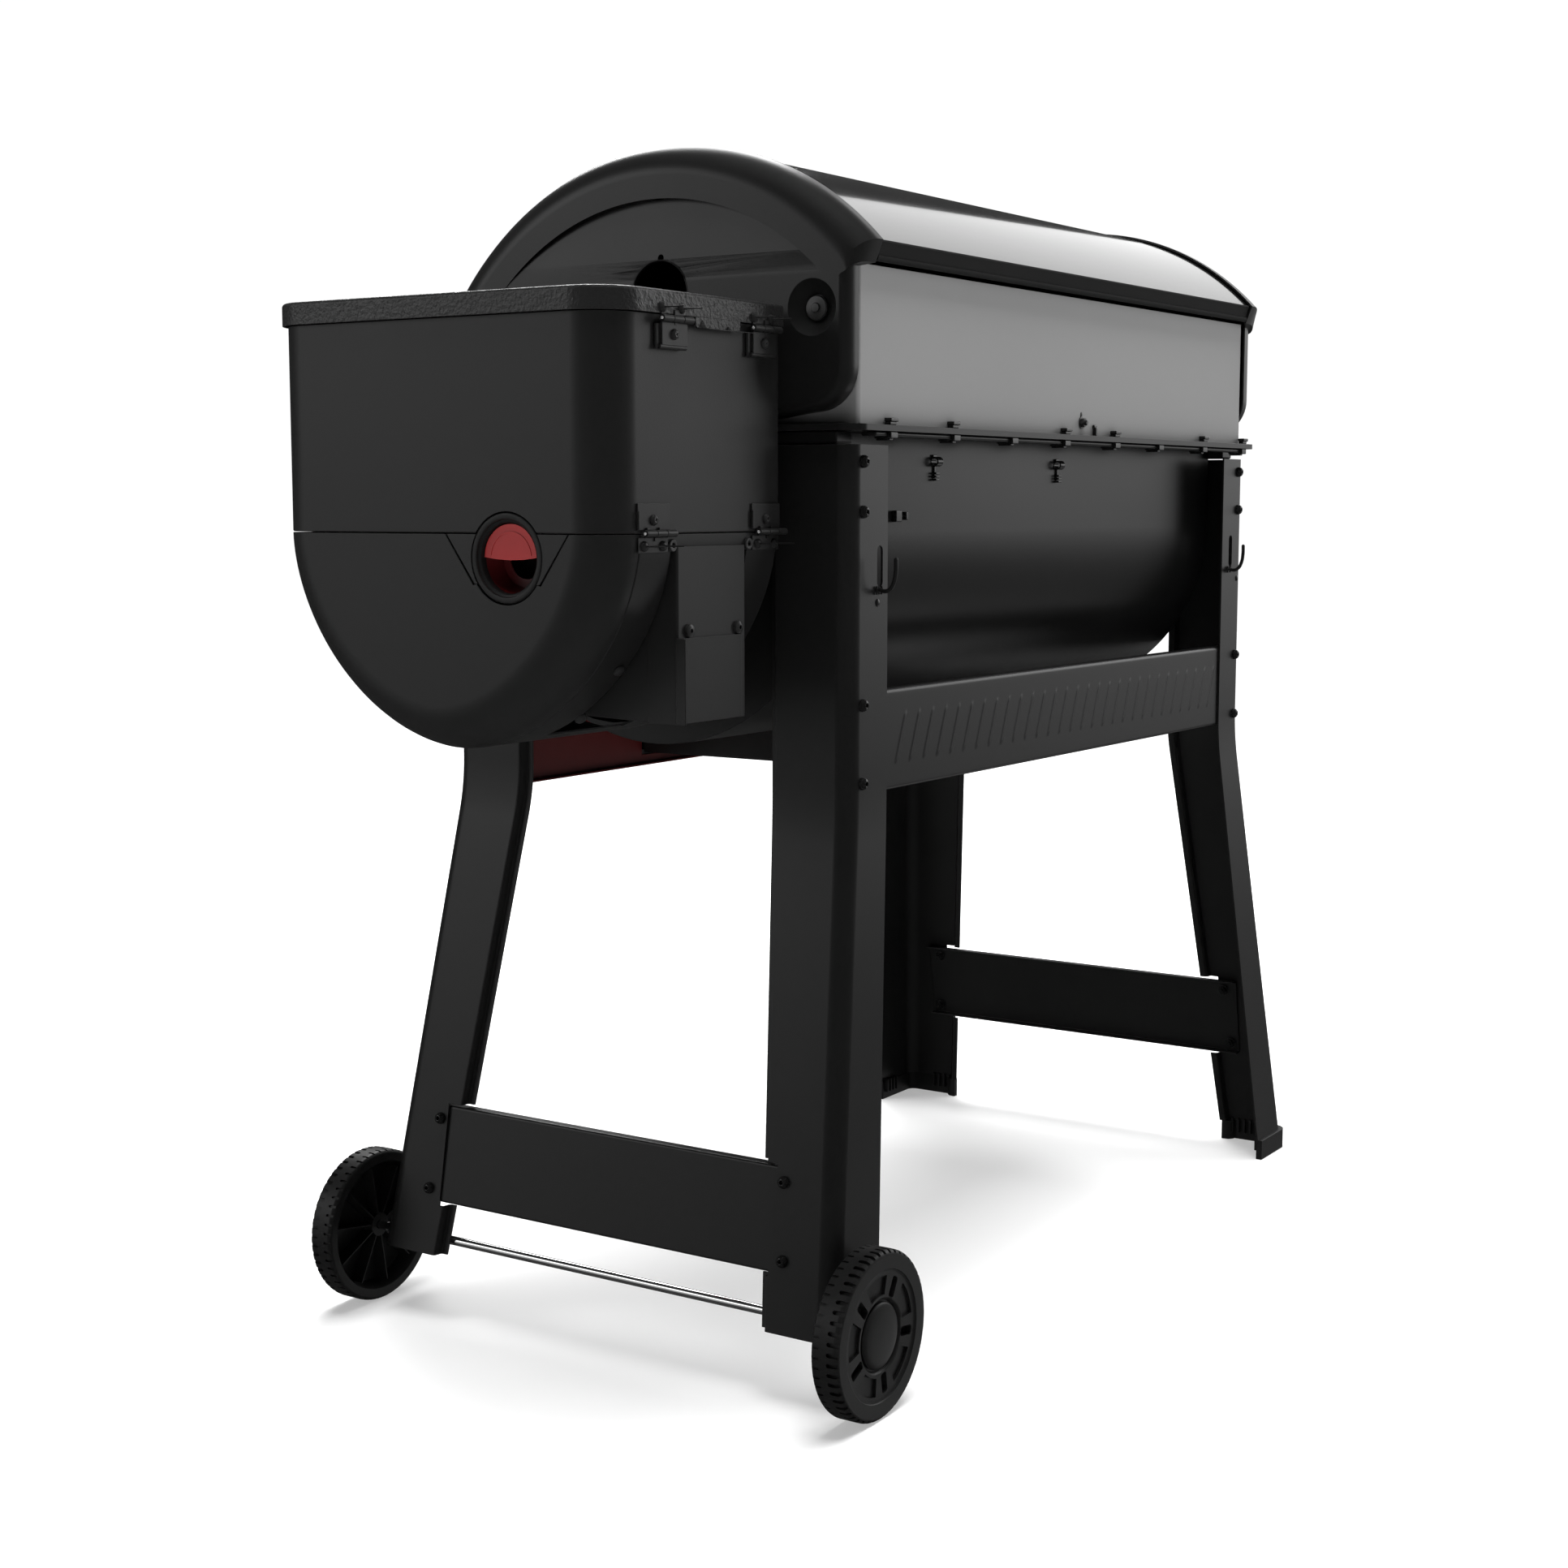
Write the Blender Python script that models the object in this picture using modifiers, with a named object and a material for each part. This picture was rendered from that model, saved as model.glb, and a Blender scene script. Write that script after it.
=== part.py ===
"""Pellet smoker grill: barrel cook box on a splayed four-leg stand, with a side pellet hopper.

Metres, +Z up. +X is the hopper and wheel side, +Y is the back, and the floor is Z = 0.
Everything is laid out about the middle of the four legs. The frame empty then moves the
grill so that the middle of its whole box is over the origin.
"""

import math

import bmesh
import bpy
from mathutils import Matrix, Vector

# ---------------------------------------------------------------- driving dimensions
SHEET = 0.0022            # pressed steel thickness
GAP = 0.0004              # clearance between neighbouring pieces

# Legs: pressed channels, web facing sideways and flange facing front or back
LEG_WEB_X = 0.4807
LEG_FLANGE_Y = 0.2530
LEG_FLANGE_IN_X = 0.4125
LEG_WEB_IN_Y = 0.1660
LEG_LIP_Y = 0.1575
LEG_LIP_STEP = 0.0100
LEG_CORNER_R = 0.0180
LEG_TOP = 0.9150
LEG_BEND = 0.5633
LEG_BEND_HALF = 0.0300
SPLAY_X = 0.0973
SPLAY_Y = 0.0387
EDGE_SPLAY = (0.0780, 0.0500)   # of the free edges: flange in X, lip in Y
FRONT_IN = 0.0130         # the front legs stand this much further in above the bend
WHEEL_LEG_BOTTOM = 0.0695
FOOT_HEIGHT = 0.0258
FOOT_WALL = 0.0080
FOOT_PROUD = 0.0031

# Wheels and axle, turning about Y
WHEEL_X = 0.5444
WHEEL_R = 0.0818
WHEEL_IN_Y = 0.3010
WHEEL_OUT_Y = 0.3302
AXLE_R = 0.0047
HUB_CAP_R = 0.0320

# Braces between the legs
SIDE_BRACE_Z = (0.1245, 0.2255)
CROSS_BRACE_Y = 0.2504
REAR_BRACE_Z = (0.5800, 0.6795)
FRONT_BRACE_Z = (0.5530, 0.6795)
CROSS_BRACE_X = 0.4600
BRACE_EDGE = 0.0120

# Cook box: a trough with a half-round bottom, closed by end walls
BOX_END_X = 0.4472
BOX_Y = 0.0
BOX_Z = 0.8318
BOX_R = 0.2167
RIM_Z = (0.9280, 0.9340)
RIM_OUT_X = 0.4902
RIM_OUT_Y = (-0.3000, 0.2649)
RIM_IN_X = 0.4435
RIM_IN_Y = (-0.2130, 0.2130)

# Hood at the back, which carries the lid pivots
HOOD_X = 0.4644
HOOD_Y = 0.2511
HOOD_TOP = 1.0836
HOOD_SIDE_Y = (0.0600, 0.1850)

# Lid: an arc of sheet between two deep end caps, hinged about X
LID_Y = 0.0327
LID_Z = 0.8824
LID_CAP_R = 0.3251
LID_SKIN_R = 0.3216
LID_BOTTOM = 0.9375
LID_CREASE = math.radians(43.5)
LID_BAND = (0.2608, 1.0856)
SKIN_X = 0.4498
CAP_IN_X = 0.4515
CAP_LOBE_IN_X = 0.4687
CAP_OUT_X = 0.4902
CAP_ROUND = 0.0310
CAP_TIP = (0.2614, 1.0840)
LOBE_Y = 0.2537
LOBE_R = 0.0430
LOBE_BOTTOM = 0.9460
PIVOT = (0.2150, 1.0423)
PIVOT_R = 0.0090
HANDLE_Y = -0.3100
HANDLE_Z = 1.0000
HANDLE_R = 0.0120
HANDLE_HALF = 0.3400
BRACKET_X = 0.3000

# Hopper on the +X end: square bin above, round-bottomed shroud below
HOP_IN_X = 0.5182
HOP_OUT_X = 0.7822
HOP_Y = (-0.1968, 0.1968)
HOP_CORNER_R = 0.0409
SEAM_Z = 0.8332
BIN_TOP = 1.0223
HOP_LID_Z = (1.0227, 1.0435)
HOP_LID_OVER = 0.0054
BOWL_Y = 0.0
BOWL_DROP = 0.1963
BOWL_POWER = 1.8
SHROUD_IN_X = 0.5230
CUTOUT_X = (0.5717, 0.6910)
CUTOUT_Y = 0.0500
CUTOUT_Z = 0.6400
NECK_Y = (-0.0920, 0.0920)
NECK_Z = (0.6550, 0.8150)
LID_HINGE = (0.2043, 1.0188)
SHROUD_HINGE = (0.2018, 0.8335)
LID_HINGE_X = (0.5498, 0.6909)
SHROUD_HINGE_X = (0.5379, 0.7140)

# Round port in the hopper's end face
PORT_Y = 0.0840
PORT_Z = 0.8118
PORT_RING_R = 0.0401
PORT_HOLE_R = 0.0311
NOTCH_TOP = 0.0690
NOTCH_FOOT = 0.0373
NOTCH_Z = 0.7889

# Pellet chute and its sliding door at the hopper's back
CHUTE_X = (0.5777, 0.6850)
CHUTE_Y = 0.1985
CHUTE_Z = (0.6631, 0.8219)
CHUTE_DEPTH = 0.0330
DOOR_X = (0.5863, 0.6894)
DOOR_Z = (0.6635, 0.7405)

# Feed auger, blower and fire pot
AUGER_Y = BOWL_Y
AUGER_Z = 0.6880
TUBE_R = 0.0240
TUBE_BORE = 0.0215
TUBE_X = (0.0625, 0.6950)
SCREW_R = 0.0203
SCREW_CORE_R = 0.0070
SCREW_PITCH = 0.0675
FLIGHT_X = (0.0800, 0.6200)
POT_R = 0.0600
POT_Z = (0.6340, 0.7450)
POT_WALL = 0.0040
FAN_X = (0.5245, 0.5600)
FAN_Y = -0.0680
FAN_Z = 0.7200
FAN_R = 0.0360
DUCT_HALF = 0.0140

# Controller on the hopper's front
CTRL_X = (0.5450, 0.7200)
CTRL_Y = (-0.2220, -0.1972)
CTRL_Z = (0.8600, 1.0000)
KNOB_X = 0.6800
KNOB_Z = 0.8950
KNOB_R = 0.0190
BUTTON_X = {"power_button": 0.5850, "mode_button": 0.6150}
BUTTON_R = 0.0060

# Grease drawer under the cook box
DRAWER_X = 0.1500
DRAWER_Y = (-0.2400, 0.1000)
DRAWER_Z = (0.5700, 0.5980)

# The whole grill's box runs from the left feet to the hopper lid's outer edge
LEFT_X = -(LEG_WEB_X + SPLAY_X + FOOT_PROUD)
CENTRE_X = (LEFT_X + HOP_OUT_X + HOP_LID_OVER) / 2

# ---------------------------------------------------------------- scene and helpers
for old in list(bpy.data.objects):
    bpy.data.objects.remove(old)

PARTS = bpy.data.collections.new("pellet_smoker_grill")
CUTTERS = bpy.data.collections.new("cutters")
bpy.context.scene.collection.children.link(PARTS)
bpy.context.scene.collection.children.link(CUTTERS)

FRAME = bpy.data.objects.new("grill_frame", None)
FRAME.location = (-CENTRE_X, 0.0, 0.0)
PARTS.objects.link(FRAME)


def material(name, color, roughness, metallic=0.0):
    made = bpy.data.materials.new(name)
    made.use_nodes = True
    shader = made.node_tree.nodes["Principled BSDF"]
    shader.inputs["Base Color"].default_value = (*color, 1.0)
    shader.inputs["Roughness"].default_value = roughness
    shader.inputs["Metallic"].default_value = metallic
    return made


POWDER = material("black_powder_coat", (0.022, 0.022, 0.023), 0.45)
TEXTURED = material("textured_powder_coat", (0.028, 0.028, 0.029), 0.5)
ENAMEL = material("black_enamel", (0.006, 0.006, 0.007), 0.12)
GREY_STEEL = material("grey_coated_steel", (0.13, 0.13, 0.13), 0.4, 0.3)
BARE_STEEL = material("bare_steel", (0.55, 0.55, 0.56), 0.35, 1.0)
CHROME = material("chrome", (0.8, 0.8, 0.8), 0.08, 1.0)
CAST_IRON = material("cast_iron", (0.03, 0.03, 0.03), 0.6, 0.4)
PLASTIC = material("black_plastic", (0.018, 0.018, 0.018), 0.5)
RED_PLASTIC = material("red_plastic", (0.45, 0.02, 0.02), 0.35)
RED_PAINT = material("dark_red_paint", (0.09, 0.008, 0.007), 0.5)
GLASS = material("display_lens", (0.01, 0.01, 0.012), 0.05)


def link(name, mesh, finish=None, origin=(0.0, 0.0, 0.0)):
    """A new object for a mesh laid out about the legs' middle, with its own origin."""
    mesh.transform(Matrix.Translation(-Vector(origin)))
    obj = bpy.data.objects.new(name, mesh)
    obj.location = origin
    obj.parent = FRAME
    if finish is None:
        obj.hide_render = True
        obj.display_type = "WIRE"
        CUTTERS.objects.link(obj)
    else:
        mesh.materials.append(finish)
        PARTS.objects.link(obj)
    return obj


def mesh_of(name, made):
    bmesh.ops.recalc_face_normals(made, faces=made.faces)
    mesh = bpy.data.meshes.new(name)
    made.to_mesh(mesh)
    made.free()
    return mesh


def box(name, low, high, finish=None, bevel=0.0, origin=(0.0, 0.0, 0.0)):
    size = [b - a for a, b in zip(low, high)]
    middle = [(a + b) / 2 for a, b in zip(low, high)]
    made = bmesh.new()
    spot = Matrix.Translation(middle) @ Matrix.Diagonal((*size, 1.0))
    bmesh.ops.create_cube(made, size=1.0, matrix=spot)
    obj = link(name, mesh_of(name, made), finish, origin)
    if bevel:
        round_edges(obj, bevel)
    return obj


def round_edges(obj, width):
    rounding = obj.modifiers.new("round", "BEVEL")
    rounding.width = width
    rounding.segments = 1
    rounding.limit_method = "ANGLE"


AXIS_TURN = {
    "X": Matrix.Rotation(math.pi / 2, 4, "Y"),
    "Y": Matrix.Rotation(-math.pi / 2, 4, "X"),
    "Z": Matrix.Identity(4),
}


def cylinder(name, axis, centre, low, high, radius, finish=None, sides=24, origin=(0.0, 0.0, 0.0)):
    """A cylinder along one axis, from low to high on it; centre gives the other two coordinates."""
    middle = list(centre)
    middle.insert("XYZ".index(axis), (low + high) / 2)
    made = bmesh.new()
    bmesh.ops.create_cone(
        made, cap_ends=True, segments=sides, radius1=radius, radius2=radius,
        depth=high - low, matrix=Matrix.Translation(middle) @ AXIS_TURN[axis],
    )
    return link(name, mesh_of(name, made), finish, origin)


def turned(name, axis, centre, profile, finish=None, steps=32):
    """A closed (radius, height) profile turned about an axis through centre."""
    mesh = bpy.data.meshes.new(name)
    points = [(radius, 0.0, height) for radius, height in profile]
    open_ends = profile[0][0] == 0.0 and profile[-1][0] == 0.0
    edges = [(i, i + 1) for i in range(len(points) - 1)]
    if not open_ends:
        edges.append((len(points) - 1, 0))
    mesh.from_pydata(points, edges, [])
    mesh.transform(AXIS_TURN[axis])
    mesh.transform(Matrix.Translation(centre))
    obj = link(name, mesh, finish, centre)
    screw = obj.modifiers.new("turn", "SCREW")
    screw.axis = axis
    screw.steps = steps
    screw.render_steps = steps
    screw.use_merge_vertices = True
    screw.merge_threshold = 0.00005
    screw.use_normal_calculate = True
    return settle(obj)


def settle(obj, face_out=True):
    """Replace an object's mesh by what its modifiers make of it."""
    bpy.context.view_layer.update()
    graph = bpy.context.evaluated_depsgraph_get()
    mesh = bpy.data.meshes.new_from_object(obj.evaluated_get(graph))
    made = bmesh.new()
    made.from_mesh(mesh)
    bmesh.ops.remove_doubles(made, verts=made.verts, dist=0.00001)
    if face_out:
        bmesh.ops.recalc_face_normals(made, faces=made.faces)
    made.to_mesh(mesh)
    made.free()
    obj.modifiers.clear()
    obj.data = mesh
    return obj


PLANE_TURN = {
    "YZ": Matrix(((0, 0, 1, 0), (1, 0, 0, 0), (0, 1, 0, 0), (0, 0, 0, 1))),
    "XZ": Matrix(((1, 0, 0, 0), (0, 0, -1, 0), (0, 1, 0, 0), (0, 0, 0, 1))),
    "XY": Matrix.Identity(4),
}


def plate(name, plane, outlines, low, high, finish=None, origin=(0.0, 0.0, 0.0)):
    """A flat outline, with any holes after it, given thickness from low to high."""
    curve = bpy.data.curves.new(name, "CURVE")
    curve.dimensions = "2D"
    curve.fill_mode = "BOTH"
    curve.extrude = (high - low) / 2
    for outline in outlines:
        spline = curve.splines.new("POLY")
        spline.points.add(len(outline) - 1)
        for point, (u, v) in zip(spline.points, outline):
            point.co = (u, v, 0.0, 1.0)
        spline.use_cyclic_u = True
    flat = bpy.data.objects.new(name + "_outline", curve)
    CUTTERS.objects.link(flat)
    bpy.context.view_layer.update()
    graph = bpy.context.evaluated_depsgraph_get()
    mesh = bpy.data.meshes.new_from_object(flat.evaluated_get(graph))
    mesh.materials.clear()
    bpy.data.objects.remove(flat)
    middle = (low + high) / 2
    mesh.transform(PLANE_TURN[plane])
    shift = {"YZ": (middle, 0, 0), "XZ": (0, middle, 0), "XY": (0, 0, middle)}[plane]
    mesh.transform(Matrix.Translation(shift))
    made = bmesh.new()
    made.from_mesh(mesh)
    bmesh.ops.remove_doubles(made, verts=made.verts, dist=0.00001)
    return link(name, mesh_of(name, made), finish, origin)


def sheet(name, rows, finish, thickness=SHEET, inward=True, caps=(), origin=(0.0, 0.0, 0.0),
          even=True):
    """Pressed sheet: rows of points joined into an open surface, then given thickness.

    caps holds the index of any row that is closed by a flat face. The thickness goes to the
    back of the surface, or to its front when inward is false.
    """
    made = bmesh.new()
    grid = [[made.verts.new(point) for point in row] for row in rows]
    for low, high in zip(grid, grid[1:]):
        for i in range(len(low) - 1):
            made.faces.new((low[i], low[i + 1], high[i + 1], high[i]))
    for index in caps:
        made.faces.new(grid[index] if index else list(reversed(grid[index])))
    bmesh.ops.remove_doubles(made, verts=made.verts, dist=0.00001)
    mesh = bpy.data.meshes.new(name)
    made.to_mesh(mesh)
    made.free()
    obj = link(name, mesh, finish, origin)
    solid = obj.modifiers.new("thickness", "SOLIDIFY")
    solid.thickness = thickness
    solid.offset = -1.0 if inward else 1.0
    solid.use_even_offset = even
    return settle(obj)


def boolean(obj, other, operation="DIFFERENCE"):
    """Cut the other object out of this one, or join it on, and settle the result."""
    cut = obj.modifiers.new("boolean", "BOOLEAN")
    cut.operation = operation
    cut.object = other
    bpy.context.view_layer.update()
    settle(obj, face_out=False)
    bpy.data.objects.remove(other)
    return obj


def arc(centre, radius, start, stop, count):
    """Points along an arc in a plane, angles in radians."""
    points = []
    for i in range(count + 1):
        angle = start + (stop - start) * i / count
        points.append((centre[0] + radius * math.cos(angle), centre[1] + radius * math.sin(angle)))
    return points


def rounded_rectangle(x, y, radii, count=4):
    """A rectangle outline with its own radius at each corner, from (low, low) turning left."""
    corners = (
        (x[0], y[0], math.pi), (x[1], y[0], 1.5 * math.pi), (x[1], y[1], 0.0), (x[0], y[1], math.pi / 2),
    )
    points = []
    for (cx, cy, start), radius in zip(corners, radii):
        sx = 1 if cx == x[0] else -1
        sy = 1 if cy == y[0] else -1
        centre = (cx + sx * radius, cy + sy * radius)
        points += arc(centre, radius, start, start + math.pi / 2, count)
    return points


# ---------------------------------------------------------------- stand
def splay(z):
    """How far the legs have spread at a height, as a part of their spread at the floor."""
    if z >= LEG_BEND + LEG_BEND_HALF:
        return 0.0
    return max(0.0, (LEG_BEND - z) / LEG_BEND)


def leg_row(z, side_x, side_y, spread, proud=0.0):
    """One level of the leg channel, from the flange's free edge to the web's recessed lip."""
    web = LEG_WEB_X + proud
    flange = LEG_FLANGE_Y + proud
    corner = (web - LEG_CORNER_R, flange - LEG_CORNER_R)
    profile = [(LEG_FLANGE_IN_X, flange), *arc(corner, LEG_CORNER_R, math.pi / 2, 0.0, 4)]
    profile += [
        (web, LEG_WEB_IN_Y),
        (web - LEG_LIP_STEP, LEG_WEB_IN_Y - 0.0015),
        (web - LEG_LIP_STEP, LEG_LIP_Y),
    ]
    back = FRONT_IN * (1.0 - spread) if side_y < 0 else 0.0
    row = []
    for i, (x, y) in enumerate(profile):
        x += (EDGE_SPLAY[0] if i == 0 else SPLAY_X) * spread
        y += (EDGE_SPLAY[1] if i > len(profile) - 4 else SPLAY_Y) * spread - back
        row.append((side_x * x, side_y * y, z))
    return row


def leg(name, side_x, side_y):
    bottom = WHEEL_LEG_BOTTOM if side_x > 0 else FOOT_HEIGHT + 3 * GAP
    levels = (bottom, LEG_BEND - LEG_BEND_HALF, LEG_BEND + LEG_BEND_HALF, LEG_TOP)
    rows = [leg_row(z, side_x, side_y, splay(z)) for z in levels]
    obj = sheet(name, rows, POWDER, inward=side_x * side_y < 0)
    low_x, high_x = sorted((side_x * 0.50, side_x * 0.60))
    low_y, high_y = sorted((side_y * 0.130, side_y * (LEG_WEB_IN_Y + EDGE_SPLAY[1] * 0.85)))
    brace_slot = box(
        name + "_brace_slot",
        (low_x, low_y, SIDE_BRACE_Z[0] - 0.003), (high_x, high_y, SIDE_BRACE_Z[1] + 0.003),
    )
    boolean(obj, brace_slot)
    if side_x > 0:
        low_y, high_y = sorted((side_y * 0.26, side_y * 0.30))
        hole = cylinder(
            name + "_axle_hole", "Y", (WHEEL_X, WHEEL_R), low_y, high_y, AXLE_R + GAP, sides=16
        )
        boolean(obj, hole)
    return obj


def foot(name, side_y):
    rows = [leg_row(z, -1, side_y, splay(0.0), FOOT_PROUD) for z in (0.0, FOOT_HEIGHT)]
    return sheet(name, rows, PLASTIC, FOOT_WALL, inward=side_y > 0, even=False)


def stand():
    for side_x, side in ((1, "right"), (-1, "left")):
        for side_y, end in ((1, "rear"), (-1, "front")):
            leg(f"leg_{end}_{side}", side_x, side_y)
        side_brace(f"side_brace_{side}", side_x)
    foot("foot_rear_left", 1)
    foot("foot_front_left", -1)
    cross_brace("rear_brace_panel", 1, REAR_BRACE_Z, POWDER)
    front = cross_brace("front_brace_panel", -1, FRONT_BRACE_Z, RED_PAINT)
    window = box(
        "drawer_window",
        (-DRAWER_X - 0.006, -0.30, DRAWER_Z[0] - 0.006), (DRAWER_X + 0.006, -0.20, DRAWER_Z[1] + 0.006),
    )
    boolean(front, window)
    for side_x, side in ((1, "right"), (-1, "left")):
        tool_hook(f"tool_hook_{side}", side_x)


def side_brace(name, side_x):
    """The panel between two legs, inside their webs, with an edge turned in at top and bottom."""
    def outside(z):
        return LEG_WEB_X + SPLAY_X * splay(z) - SHEET - GAP

    low, high = SIDE_BRACE_Z
    section = [
        (outside(low) - BRACE_EDGE, low), (outside(low), low),
        (outside(high), high), (outside(high) - BRACE_EDGE, high),
    ]
    rows = [[(side_x * x, y, z) for x, z in section] for y in (-0.235, 0.235)]
    return sheet(name, rows, POWDER, 0.0020, inward=side_x < 0)


def cross_brace(name, side_y, span, finish):
    """The panel across the front or the back, behind the legs' flanges."""
    low, high = span
    reach = CROSS_BRACE_Y - (FRONT_IN if side_y < 0 else 0.0)
    face, edge = side_y * reach, side_y * (reach - BRACE_EDGE)
    section = [(edge, low), (face, low), (face, high), (edge, high)]
    rows = [[(x, y, z) for y, z in section] for x in (-CROSS_BRACE_X, CROSS_BRACE_X)]
    return sheet(name, rows, finish, 0.0020, inward=side_y > 0)


def tool_hook(name, side_x):
    """A bent wire hook that comes out of the rear flange and turns up."""
    x = side_x * 0.4310
    base = LEG_FLANGE_Y + 3 * GAP
    route = [(base, 0.7775), (base + 0.007, 0.7755), (base + 0.013, 0.7780),
             (base + 0.0170, 0.7850), (base + 0.0188, 0.7950), (base + 0.0192, 0.8060)]
    curve = bpy.data.curves.new(name, "CURVE")
    curve.dimensions = "3D"
    curve.bevel_depth = 0.0024
    curve.bevel_resolution = 1
    curve.use_fill_caps = True
    curve.materials.append(POWDER)
    spline = curve.splines.new("POLY")
    spline.points.add(len(route) - 1)
    for point, (y, z) in zip(spline.points, route):
        point.co = (x, y, z, 1.0)
    obj = bpy.data.objects.new(name, curve)
    obj.parent = FRAME
    PARTS.objects.link(obj)
    return obj


def running_gear():
    end = WHEEL_IN_Y + 0.0232
    cylinder(
        "wheel_axle", "Y", (WHEEL_X, WHEEL_R), -end, end, AXLE_R, CHROME, 24,
        (WHEEL_X, 0.0, WHEEL_R),
    )
    for side_y, end_name in ((1, "rear"), (-1, "front")):
        wheel(f"wheel_{end_name}", f"hub_cap_{end_name}", side_y)


def wheel(name, cap_name, side_y):
    """A moulded wheel, hollow on its inner side, with a cap in the recess of its hub."""
    bore = AXLE_R + GAP
    depth = WHEEL_OUT_Y - WHEEL_IN_Y
    section = [
        (bore, 0.0236), (bore, 0.0060), (0.0120, 0.0060), (0.0120, 0.0190), (0.0640, 0.0190),
        (0.0660, 0.0), (WHEEL_R - 0.0035, 0.0), (WHEEL_R, 0.0040), (WHEEL_R, depth - 0.0040),
        (WHEEL_R - 0.0035, depth), (0.0660, depth), (0.0620, 0.0262), (HUB_CAP_R + 0.0015, 0.0262),
        (HUB_CAP_R + GAP, 0.0236),
    ]
    cap = [(0.0, 0.0240), (HUB_CAP_R, 0.0240), (HUB_CAP_R, 0.0272), (HUB_CAP_R - 0.004, depth),
           (0.0, depth)]
    centre = (WHEEL_X, side_y * WHEEL_IN_Y, WHEEL_R)
    turned(name, "Y", centre, [(r, side_y * t) for r, t in section], PLASTIC, 36)
    turned(cap_name, "Y", centre, [(r, side_y * t) for r, t in cap], PLASTIC, 24)


# ---------------------------------------------------------------- cook box and hood
def cook_box():
    bottom = arc((BOX_Y, BOX_Z), BOX_R, 0.0, -math.pi, 18)
    top = RIM_Z[0] - GAP
    profile = [(BOX_Y + BOX_R, top), *bottom, (BOX_Y - BOX_R, top)]
    rows = [[(x, y, z) for y, z in profile] for x in (-BOX_END_X, BOX_END_X)]
    trough = sheet("cook_box", rows, POWDER, caps=(0, 1), inward=False)
    boolean(trough, cylinder(
        "auger_hole", "X", (AUGER_Y, AUGER_Z), BOX_END_X - 0.02, BOX_END_X + 0.02, TUBE_R + GAP
    ))
    boolean(trough, box(
        "duct_hole", (BOX_END_X - 0.02, FAN_Y - DUCT_HALF + 0.002, FAN_Z - DUCT_HALF + 0.002),
        (BOX_END_X + 0.02, FAN_Y + DUCT_HALF - 0.002, FAN_Z + DUCT_HALF - 0.002),
    ))
    rim_outline = rounded_rectangle((-RIM_OUT_X, RIM_OUT_X), RIM_OUT_Y, (0.020,) * 4, 3)
    rim_hole = rounded_rectangle((-RIM_IN_X, RIM_IN_X), RIM_IN_Y, (0.008,) * 4, 1)
    plate("rim_flange", "XY", [rim_outline, rim_hole], *RIM_Z, POWDER)
    rear_hood()


def rear_hood():
    """The grey back panel and its two side wings, which hold the lid's pivots."""
    low = RIM_Z[1] + GAP
    wing = [(HOOD_SIDE_Y[0], low), (HOOD_SIDE_Y[1], HOOD_TOP)]
    bottom = [(-HOOD_X, wing[0][0], low), (-HOOD_X, HOOD_Y, low),
              (HOOD_X, HOOD_Y, low), (HOOD_X, wing[0][0], low)]
    top = [(-HOOD_X, wing[1][0], HOOD_TOP), (-HOOD_X, HOOD_Y, HOOD_TOP),
           (HOOD_X, HOOD_Y, HOOD_TOP), (HOOD_X, wing[1][0], HOOD_TOP)]
    hood = sheet("rear_hood", [bottom, top], GREY_STEEL, 0.0020, inward=False)
    for side_x, side in ((1, "right"), (-1, "left")):
        low_x, high_x = sorted((side_x * (HOOD_X - 0.01), side_x * (HOOD_X + 0.01)))
        hole = cylinder("pivot_hole", "X", PIVOT, low_x, high_x, PIVOT_R + GAP)
        boolean(hood, hole)
        start = HOOD_X - 0.0060
        head = CAP_OUT_X + GAP
        profile = [
            (0.0, start), (PIVOT_R, start), (PIVOT_R, head), (0.0123, head),
            (0.0123, head + 0.0026), (0.0100, head + 0.0036), (0.0, head + 0.0036),
        ]
        turned(
            f"lid_pivot_{side}", "X", (0.0, *PIVOT), [(r, side_x * t) for r, t in profile],
            BARE_STEEL, 24,
        )


def slotted(obj, x, y, z, count):
    """Cut a row of long slots through a flat grate, leaving even bars between them."""
    made = bmesh.new()
    pitch = (x[1] - x[0]) / count
    for i in range(count):
        middle = (x[0] + (i + 0.5) * pitch, (y[0] + y[1]) / 2, (z[0] + z[1]) / 2)
        size = (pitch * 0.62, y[1] - y[0], z[1] - z[0], 1.0)
        spot = Matrix.Translation(middle) @ Matrix.Diagonal(size)
        bmesh.ops.create_cube(made, size=1.0, matrix=spot)
    cutter = link("slots", mesh_of("slots", made))
    return boolean(obj, cutter)


def grates():
    y = (BOX_Y - BOX_R + 0.0031, BOX_Y + BOX_R - 0.0032)
    z = (0.9050, 0.9100)
    for side_x, side in ((1, "right"), (-1, "left")):
        x = sorted((side_x * 0.0010, side_x * (BOX_END_X - 0.0027)))
        grate = box(f"cooking_grate_{side}", (x[0], y[0], z[0]), (x[1], y[1], z[1]), CAST_IRON)
        slotted(grate, (x[0] + 0.010, x[1] - 0.010), (y[0] + 0.014, y[1] - 0.014),
                (z[0] - 0.01, z[1] + 0.01), 12)
    leg_x = 0.4380
    top = 1.0000
    low = RIM_Z[1] + GAP
    rows = [
        [(-leg_x, y, low), (-leg_x, y, top), (leg_x, y, top), (leg_x, y, low)]
        for y in (0.0200, 0.1900)
    ]
    rack = sheet("warming_rack", rows, BARE_STEEL, 0.0030)
    slotted(rack, (-0.430, 0.430), (0.030, 0.180), (0.98, 1.02), 16)


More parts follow.
